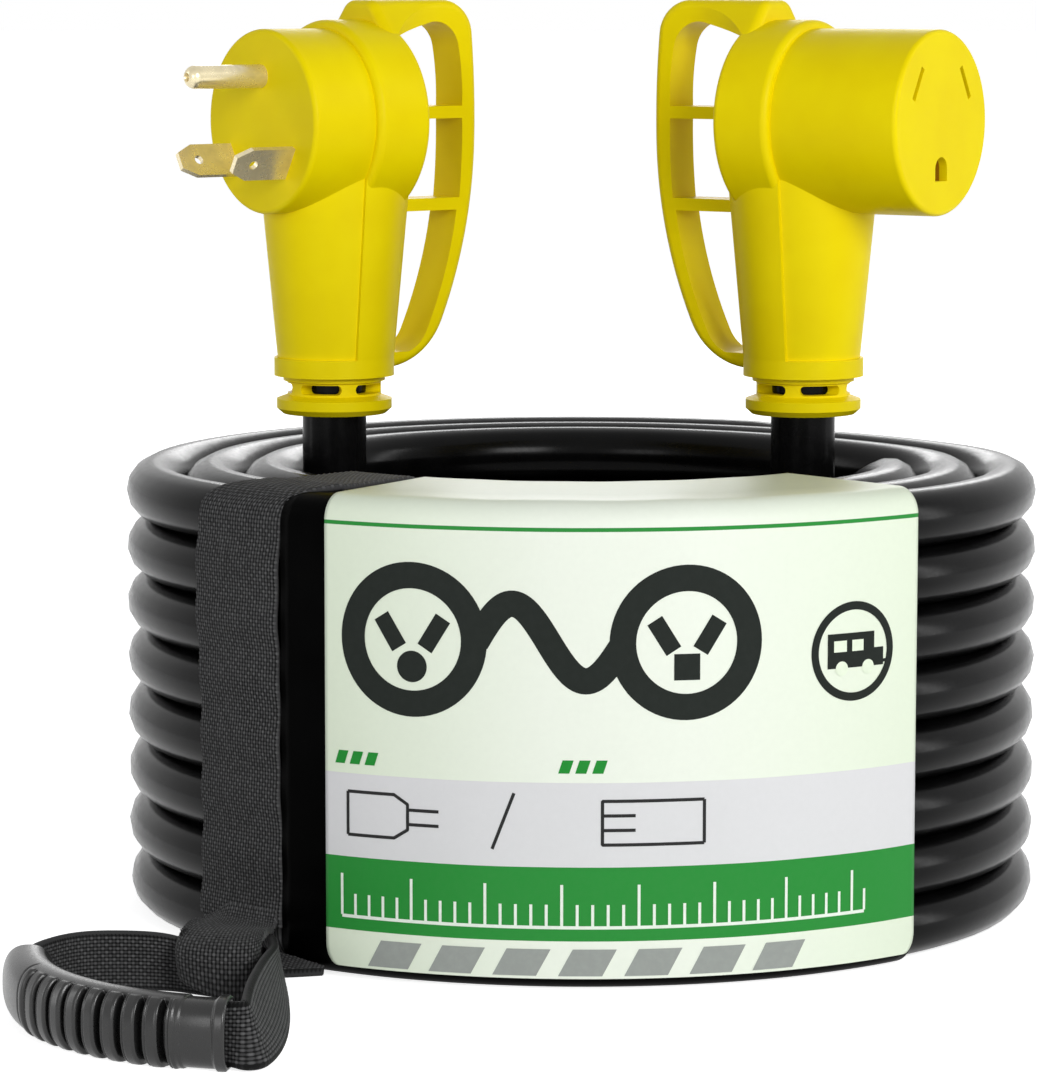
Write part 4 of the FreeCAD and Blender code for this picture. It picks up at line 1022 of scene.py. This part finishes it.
def card_place(bearing, climb, lift=0.0):
    """Point of the card's outer face at a bearing and a distance up its section.

    The section goes straight up the front, round a quarter circle and straight in
    across the top.
    """
    face, top = card_profile()
    start = top - CARD_CORNER
    up = np.clip(climb, None, start)
    turn = np.clip((climb - start) / CARD_BEND, 0, 1) * math.pi / 2
    inward = np.clip(climb - start - CARD_BEND, 0, None)
    sway = 0.10 * MM * np.sin(bearing * 23.0) * np.sin(climb / (31 * MM))
    rise = lift + sway
    radius = face - CARD_CORNER + (CARD_CORNER + rise) * np.cos(turn) - inward
    height = up + (CARD_CORNER + rise) * np.sin(turn)
    return np.stack([radius * np.sin(bearing), -radius * np.cos(bearing), height], axis=-1)


class SHORE_OT_card(bpy.types.Operator):
    """Bend the label card over the front and the top of the coil"""
    bl_idname = "shore.card"
    bl_label = "Label card"

    def execute(self, context):
        ties = sizes()[1]
        face, top = card_profile()
        start = top - CARD_CORNER
        flat = start + CARD_BEND
        end = flat + face - CARD_CORNER - CARD_BACK
        rounding = 1 - np.cos(np.radians(np.linspace(0, 90, 9)))
        climb = np.concatenate([
            CARD_FOOT + CARD_TRIM_HIGH * rounding,
            np.linspace(CARD_FOOT + CARD_TRIM_HIGH + 1 * MM, start, 60),
            np.linspace(start, flat, 16)[1:], np.linspace(flat, end, 30)[1:]])
        climb = np.unique(climb)[:, None]
        near = np.clip(1 - (climb - CARD_FOOT) / CARD_TRIM_HIGH, 0, 1)
        trim = CARD_TRIM * (1 - np.sqrt(1 - near ** 2)) / face
        across = np.linspace(0, 1, 150)[None, :]
        bearing = (ties.card_from + trim) * (1 - across) + (ties.card_to - trim) * across
        climb = climb + 0 * bearing
        piece = surface("card", card_place(bearing, climb), flip=True,
                        attributes={"climb": climb})
        wall = piece.modifiers.new("thickness", "SOLIDIFY")
        wall.thickness = CARD_THICK
        wall.offset = -1.0
        finish_piece(piece, "bundle", "label_card", printed_card(ties), "label_card")
        return {"FINISHED"}


# ----------------------------------------------------------------------------- print
# Places on the card are (distance round, height), in millimetres.
INK_LIFT = 0.10 * MM
PRINT_DARK, PRINT_THIN = (0.019, 0.023, 0.020), (0.030, 0.030, 0.030)
PRINT_PALE, PRINT_GREY = (0.82, 0.90, 0.80), (0.33, 0.35, 0.33)
ICON_LEVEL, ICON_RADIUS, ICON_WEIGHT = 96, 17.6, 7.2
PLUG_ICON, SOCKET_ICON = -46.6, 29
# The cord between the two icons: where it starts, how far it runs and how far it sways.
WAVE_FROM, WAVE_RUN, WAVE_HIGH = -28.4, 40, 11
OUTLINE = 0.9
PLUG_OUTLINE = [(-66, 41), (-52, 41), (-48, 43.5), (-48, 50.5), (-52, 53), (-66, 53)]
PLUG_LINES = [(-66, 41, -66, 53), (-48, 45, -39, 45), (-48, 49, -39, 49)]
SLASH = (-24, 39.5, -18, 55.0)
SOCKET_OUTLINE = [(34, 41), (6, 41), (6, 53), (34, 53)]
SOCKET_LINES = [(34, 41, 34, 53), (6, 45, 15, 45), (6, 49, 15, 49)]
SCALE_FROM, SCALE_TO, SCALE_LEVEL, SCALE_STEP, SCALE_TICKS = -68, 83.2, 18.5, 4.2, 37
TICK_SHORT, TICK_LONG, TICK_WEIGHT = 6.0, 11.5, 0.8


def stroke(line, width, closed=False):
    """Ribbon of even width along a flat line: each point is moved half the width to
    both sides, along the normal of the line there."""
    line = np.array(line, float)
    if closed:
        ahead = np.roll(line, -1, axis=0) - np.roll(line, 1, axis=0)
    else:
        ahead = np.gradient(line, axis=0)
    ahead /= np.linalg.norm(ahead, axis=1, keepdims=True)
    side = np.stack([-ahead[:, 1], ahead[:, 0]], axis=1) * width / 2
    pair = np.stack([line + side, line - side], axis=1)
    return np.concatenate([pair, pair[:1]]) if closed else pair


def circle(x, y, radius, count=72):
    """Points round a circle, the last one short of the first."""
    turn = np.radians(np.linspace(0.0, 360.0, count, endpoint=False))
    return np.stack([x + radius * np.cos(turn), y + radius * np.sin(turn)], axis=1)


def straight(x0, y0, x1, y1, count=8):
    """Even points along a straight line."""
    return np.linspace((x0, y0), (x1, y1), count)


def bent(corners):
    """Even points along each straight side between the corners."""
    return np.vstack([straight(*here, *there) for here, there in zip(corners[:-1], corners[1:])])


def disc(x, y, radius):
    """Round dot, ruled between its lower and its upper half."""
    turn = np.linspace(0.02, math.pi - 0.02, 24)
    across = x + radius * np.cos(turn)
    return np.stack([np.stack([across, y + radius * np.sin(turn)], axis=1),
                     np.stack([across, y - radius * np.sin(turn)], axis=1)], axis=1)


def bar(x0, y0, x1, y1, height, slant=0.0):
    """Upright-ended bar between two points, its ends leaning by the slant."""
    base = straight(x0, y0, x1, y1)
    return np.stack([base + np.array([slant, height]), base], axis=1)


def bars(first, step, count, width, level, height, slant):
    """Row of like bars, a step apart."""
    return [bar(first + step * index, level, first + width + step * index, level, height, slant)
            for index in range(count)]


def print_shapes(name, ribbons, tone):
    """One printed piece from flat ribbons, laid on the card and turned to face outwards.

    Each ribbon is ruled across in two steps. A face whose normal, the cross product
    of its diagonals, points at the coil's axis is turned round.
    """
    face, _ = card_profile()
    points, faces, offset = [], [], 0
    for ribbon in ribbons:
        across = np.linspace(0, 1, 3)[None, :, None]
        grid = ribbon[:, :1] * (1 - across) + ribbon[:, 1:] * across
        bearing, climb = grid[..., 0] * MM / face, grid[..., 1] * MM
        points.append(card_place(bearing, climb, INK_LIFT).reshape(-1, 3))
        faces.append(grid_faces(*grid.shape[:2], offset=offset))
        offset += grid.shape[0] * grid.shape[1]
    points, faces = np.vstack(points), np.vstack(faces)
    a, b, c, d = (points[faces[:, side]] for side in range(4))
    normal = np.cross(c - a, d - b)
    inward = np.sum(normal[:, :2] * (a + b + c + d)[:, :2], axis=1) < 0
    faces[inward] = faces[inward, ::-1]
    piece = mesh_object(name, points, faces)
    return finish_piece(piece, "bundle", "label_card", print_ink(name + "_ink", tone))


def head_icon(x, socket):
    """Front view of a head: ring, two leaning slots and the round or flat ground."""
    y, weight = ICON_LEVEL, ICON_WEIGHT
    shapes = [stroke(circle(x, y, ICON_RADIUS), weight, closed=True)]
    lean, drop, rise = ICON_RADIUS * 0.36, ICON_RADIUS * 0.42, ICON_RADIUS * 0.08
    slot = ICON_RADIUS * 0.30
    for way in (-1, 1):
        middle = x + way * lean
        shapes.append(stroke(straight(middle - way * slot * 0.5, y + rise - slot * 0.7,
                                      middle + way * slot * 0.5, y + rise + slot * 0.9),
                             weight * 0.66))
    if socket:
        foot = y - drop - weight * 0.4
        shapes.append(bar(x - weight * 0.5, foot, x + weight * 0.5, foot, weight))
    else:
        shapes.append(disc(x, y - drop, weight * 0.6))
    return shapes


def print_ends(dark):
    """Both ends face on, joined by a cord: a sine that fades a little."""
    wave = np.linspace(0, 1, 60)
    sway = WAVE_HIGH * np.sin(wave * 2 * np.pi) * (1 - 0.1 * wave)
    cord = np.stack([WAVE_FROM + WAVE_RUN * wave, ICON_LEVEL + sway], axis=1)
    print_shapes("print_ends", head_icon(PLUG_ICON, False) + head_icon(SOCKET_ICON, True)
                 + [stroke(cord, ICON_WEIGHT)], dark)


def print_camper(dark, pale):
    """A camper in a ring, with its windows and wheels laid over it."""
    print_shapes("print_camper", [
        stroke(circle(79, 91, 12.6, 96), 2.3, closed=True), bar(70.4, 86.5, 86.0, 86.5, 9.6),
        bar(86.0, 86.5, 89.2, 86.5, 5.0), bar(89.0, 87.2, 91.0, 87.2, 0.9)], dark)
    panes = print_shapes("print_panes", [
        bar(72.4, 91.0, 76.6, 91.0, 3.1), bar(78.4, 91.0, 82.2, 91.0, 3.1),
        disc(75.0, 86.4, 2.0), disc(83.8, 86.4, 2.0)], pale)
    panes.data.transform(grown_about_axis(1.0005))


class SHORE_OT_print(bpy.types.Operator):
    """Print the card: plain pictograms of both ends, a camper and a length scale"""
    bl_idname = "shore.print"
    bl_label = "Card print"

    def execute(self, context):
        ties = sizes()[1]
        print_ends(PRINT_DARK)
        print_camper(PRINT_DARK, tuple(ties.card))
        lines = [bent(PLUG_OUTLINE), bent(SOCKET_OUTLINE)]
        lines += [straight(*ends) for ends in (*PLUG_LINES, SLASH, *SOCKET_LINES)]
        print_shapes("print_outlines", [stroke(line, OUTLINE) for line in lines], PRINT_THIN)

        ticks = [(SCALE_FROM + SCALE_STEP * tick, TICK_SHORT if tick % 5 else TICK_LONG)
                 for tick in range(SCALE_TICKS)]
        scale = [stroke(straight(x, SCALE_LEVEL, x, SCALE_LEVEL + high), TICK_WEIGHT)
                 for x, high in ticks]
        foot = SCALE_LEVEL - 0.3
        scale.append(stroke(straight(SCALE_FROM, foot, SCALE_TO, foot, 60), OUTLINE))
        print_shapes("print_scale", scale, PRINT_PALE)

        dashes = bars(-70, 4.6, 3, 3, 60.6, 3.6, 1.2) + bars(-6, 4.6, 3, 3, 60.6, 3.6, 1.2)
        print_shapes("print_dashes", dashes, tuple(ties.green))
        print_shapes("print_bars", bars(-60, 18.0, 7, 12, 4.8, 7.4, 4.0), PRINT_GREY)
        return {"FINISHED"}


def grown_about_axis(scale):
    """Slight growth about the coil's axis, to lay one print over another."""
    grown = Matrix.Scale(scale, 4)
    grown[2][2] = 1.0
    return grown


# ------------------------------------------------------------------------- CAD nodes
INNER_TONE = (0.46, 0.21, 0.004)
CORE_TONES = {"line": ("core_black", (0.012, 0.012, 0.012)),
              "neutral": ("core_white", (0.78, 0.78, 0.75)),
              "ground": ("core_green", (0.02, 0.22, 0.04))}
MOULDED = ("body", "grip_shell", "strain_relief")
CONTACTS = ("line_blade", "neutral_blade", "ground_pin", "line_contact",
            "neutral_contact", "ground_contact")
CARRIERS = ("blade_carrier", "contact_carrier")
# Where each head's neck stands along X, and the way its face looks, from +X.
HEAD_PLACES = {"plug": (-73.4 * MM, math.radians(-140.8)),
               "socket": (66.0 * MM, math.radians(-33.7))}
LEDGE_RADIUS, LEDGE_CHORD, LEDGE_ROUND = 17.8 * MM, 13.2 * MM, 0.3 * MM
LEDGE_FOOT, LEDGE_TOP = 216.0 * MM, 220.15 * MM


class SHORE_OT_finishes(bpy.types.Operator):
    """Finish the heads, the contacts and the wiring, and close the necks' tops"""
    bl_idname = "shore.finishes"
    bl_label = "Heads and wiring"

    def execute(self, context):
        heads = sizes()[2]
        yellow = moulded_yellow(heads)
        finishes = dict.fromkeys(MOULDED, yellow)
        finishes.update(dict.fromkeys(CONTACTS, polished_brass(heads)))
        finishes["crimps"] = tinned_metal()
        inner = plain_plastic("inner_plastic", INNER_TONE, 0.45)
        finishes.update(dict.fromkeys(CARRIERS, inner))
        for core, (name, tone) in CORE_TONES.items():
            finishes[core + "_core"] = plain_plastic(name, tone, 0.35)
        finishes["cable_sleeve"] = bpy.data.materials["jacket_black"]
        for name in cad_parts:
            end = name.split("_", 1)[1]
            if end in finishes:
                paint_node(name, finishes[end])
        for head, (across, turn) in HEAD_PLACES.items():
            finish_piece(neck_ledge(head + "_neck_ledge", across, turn), "bundle",
                         "yellow_pvc", yellow)
        return {"FINISHED"}


def neck_ledge(name, across, turn):
    """Ledge of the moulding that closes the neck's top behind the barrel.

    Its outline is the part of a circle about the neck's axis that lies behind a chord
    inside the barrel's wall. It stands as a prism whose top edge is rounded over.
    """
    half = math.acos(LEDGE_CHORD / LEDGE_RADIUS)
    bearing = np.linspace(-half, half, 49)[None, :]
    back, side = LEDGE_RADIUS * np.cos(bearing), LEDGE_RADIUS * np.sin(bearing)
    step = np.radians(np.linspace(0, 90, 7))
    inset = np.concatenate([[0], LEDGE_ROUND * (1 - np.cos(step))])[:, None]
    level = np.concatenate([[LEDGE_FOOT], LEDGE_TOP - LEDGE_ROUND * (1 - np.sin(step))])
    middle = (LEDGE_RADIUS + LEDGE_CHORD) / 2
    keep = 1 - inset / (LEDGE_RADIUS - middle)
    behind, beside = -(middle + (back - middle) * keep), side * keep
    points = np.stack([across + behind * math.cos(turn) - beside * math.sin(turn),
                       behind * math.sin(turn) + beside * math.cos(turn),
                       level[:, None] + 0 * beside], axis=-1)
    piece = surface(name, points, wrap_columns=True)
    close_ends(piece)
    return piece


# ----------------------------------------------------------------------------- stage
WORLD_LIGHT, FLOOR_GLOW, FLOOR_REACH = 0.22, 0.80, 20.0
# Place, point looked at, size and power of each lamp.
LAMPS = {
    "key": ((0.85, -1.7, 0.85), (0, 0, 0.14), (0.7, 0.7), 21.5),
    "fill": ((-0.8, -1.7, 0.5), (0, 0, 0.12), (0.7, 0.7), 5.2),
    "side_left": ((-1.5, 0.05, 0.5), (0, 0, 0.08), (0.22, 1.1), 3.2),
    "side_right": ((1.5, 0.1, 0.6), (0, 0, 0.08), (0.22, 1.1), 5.2),
    "back": ((0.1, 2.0, 0.8), (0, 0, 0.14), (0.9, 0.5), 6.5),
}
EYE, EYE_DIP, EYE_TURN, LENS, SENSOR = (0.0, -1.3666, 0.2759), 0.1229, 0.0136, 153.72, 36.0


def lamp(name, place, target, size, power):
    """Rectangular lamp at a place, turned to its target."""
    data = bpy.data.lights.new(name, "AREA")
    data.shape = "RECTANGLE"
    data.size, data.size_y = size
    data.energy = power
    piece = bpy.data.objects.new(name, data)
    bpy.context.collection.objects.link(piece)
    piece.location = place
    piece.rotation_euler = (Vector(target) - Vector(place)).to_track_quat("-Z", "Y").to_euler()
    return piece


def white_world():
    """Even grey light, and white wherever a straight view or a reflection ends."""
    world = bpy.data.worlds.new("studio")
    world.use_nodes = True
    tree = world.node_tree
    tree.nodes.clear()
    out = tree.nodes.new("ShaderNodeOutputWorld")
    plain = tree.nodes.new("ShaderNodeBackground")
    shown = tree.nodes.new("ShaderNodeBackground")
    mix = tree.nodes.new("ShaderNodeMixShader")
    path = tree.nodes.new("ShaderNodeLightPath")
    straight_or_glossy = tree.nodes.new("ShaderNodeMath")
    or_through = tree.nodes.new("ShaderNodeMath")
    straight_or_glossy.operation = or_through.operation = "MAXIMUM"
    plain.inputs[0].default_value = (0.95, 0.97, 1.0, 1.0)
    plain.inputs[1].default_value = WORLD_LIGHT
    shown.inputs[0].default_value = (1.0, 1.0, 1.0, 1.0)
    shown.inputs[1].default_value = 1.0
    for start, end in (
            (path.outputs["Is Camera Ray"], straight_or_glossy.inputs[0]),
            (path.outputs["Is Glossy Ray"], straight_or_glossy.inputs[1]),
            (straight_or_glossy.outputs[0], or_through.inputs[0]),
            (path.outputs["Is Transmission Ray"], or_through.inputs[1]),
            (or_through.outputs[0], mix.inputs[0]), (plain.outputs[0], mix.inputs[1]),
            (shown.outputs[0], mix.inputs[2]), (mix.outputs[0], out.inputs[0])):
        tree.links.new(start, end)
    bpy.context.scene.world = world


def floor_white():
    """Matt white floor that keeps the object's shadow and otherwise looks white."""
    nodes = Nodes("floor_white")
    grain = nodes.noise(nodes.place(), 30.0)
    nodes.surface(Base_Color=nodes.mix(grain, (0.86, 0.86, 0.86), (0.90, 0.90, 0.90)),
                  Roughness=0.9, Specular_IOR_Level=0.1, Emission_Color=(1, 1, 1))
    path = nodes.tree.nodes.new("ShaderNodeLightPath")
    either = nodes.maths("MAXIMUM", path.outputs["Is Camera Ray"],
                         path.outputs["Is Glossy Ray"])
    return nodes.surface(Emission_Strength=nodes.maths("MULTIPLY", either, FLOOR_GLOW))


class SHORE_OT_stage(bpy.types.Operator):
    """Set up the floor, the lamps, the world and the camera"""
    bl_idname = "shore.stage"
    bl_label = "Stage"

    def execute(self, context):
        reach = FLOOR_REACH
        corners = np.array([(-reach, -reach, 0), (reach, -reach, 0), (reach, reach, 0),
                            (-reach, reach, 0)], float)
        floor = mesh_object("floor", corners, np.array([[0, 1, 2, 3]]))
        floor.data.materials.append(floor_white())
        [lamp(name, *values) for name, values in LAMPS.items()]
        white_world()
        data = bpy.data.cameras.new("view")
        data.lens, data.sensor_width = LENS, SENSOR
        data.clip_start, data.clip_end = 0.05, 100.0
        eye = bpy.data.objects.new("view", data)
        context.collection.objects.link(eye)
        eye.location = EYE
        eye.rotation_euler = (math.pi / 2 - EYE_DIP, 0.0, EYE_TURN)
        context.scene.camera = eye
        context.scene.view_settings.view_transform = "Standard"
        return {"FINISHED"}


class SHORE_PT_panel(bpy.types.Panel):
    """Sizes, colours and operators of the cord"""
    bl_label = "Shore power cord"
    bl_idname = "SHORE_PT_panel"
    bl_space_type = "VIEW_3D"
    bl_region_type = "UI"
    bl_category = "Shore Cord"

    def draw(self, context):
        for group in sizes():
            box = self.layout.box()
            for key in group.__annotations__:
                box.prop(group, key)
        for operator in OPERATORS:
            self.layout.operator(operator.bl_idname)


GROUPS = (SHORE_PG_cable, SHORE_PG_ties, SHORE_PG_heads)
OPERATORS = (SHORE_OT_cable, SHORE_OT_strap, SHORE_OT_handle, SHORE_OT_grip,
             SHORE_OT_wrap, SHORE_OT_card, SHORE_OT_print, SHORE_OT_finishes,
             SHORE_OT_stage)


def register():
    """Register the classes and hang the property groups on the scene."""
    for item in (*GROUPS, *OPERATORS, SHORE_PT_panel):
        bpy.utils.register_class(item)
    bpy.types.Scene.shore_cable = bpy.props.PointerProperty(type=SHORE_PG_cable)
    bpy.types.Scene.shore_ties = bpy.props.PointerProperty(type=SHORE_PG_ties)
    bpy.types.Scene.shore_heads = bpy.props.PointerProperty(type=SHORE_PG_heads)


def unregister():
    """Undo register, last class first."""
    del bpy.types.Scene.shore_heads
    del bpy.types.Scene.shore_ties
    del bpy.types.Scene.shore_cable
    for item in reversed((*GROUPS, *OPERATORS, SHORE_PT_panel)):
        bpy.utils.unregister_class(item)


def main():
    """Make the whole cord and its stage."""
    register()
    bpy.ops.shore.cable()
    bpy.ops.shore.strap()
    bpy.ops.shore.handle()
    bpy.ops.shore.grip()
    bpy.ops.shore.wrap()
    bpy.ops.shore.card()
    bpy.ops.shore.print()
    bpy.ops.shore.finishes()
    bpy.ops.shore.stage()


if __name__ == "__main__":
    main()
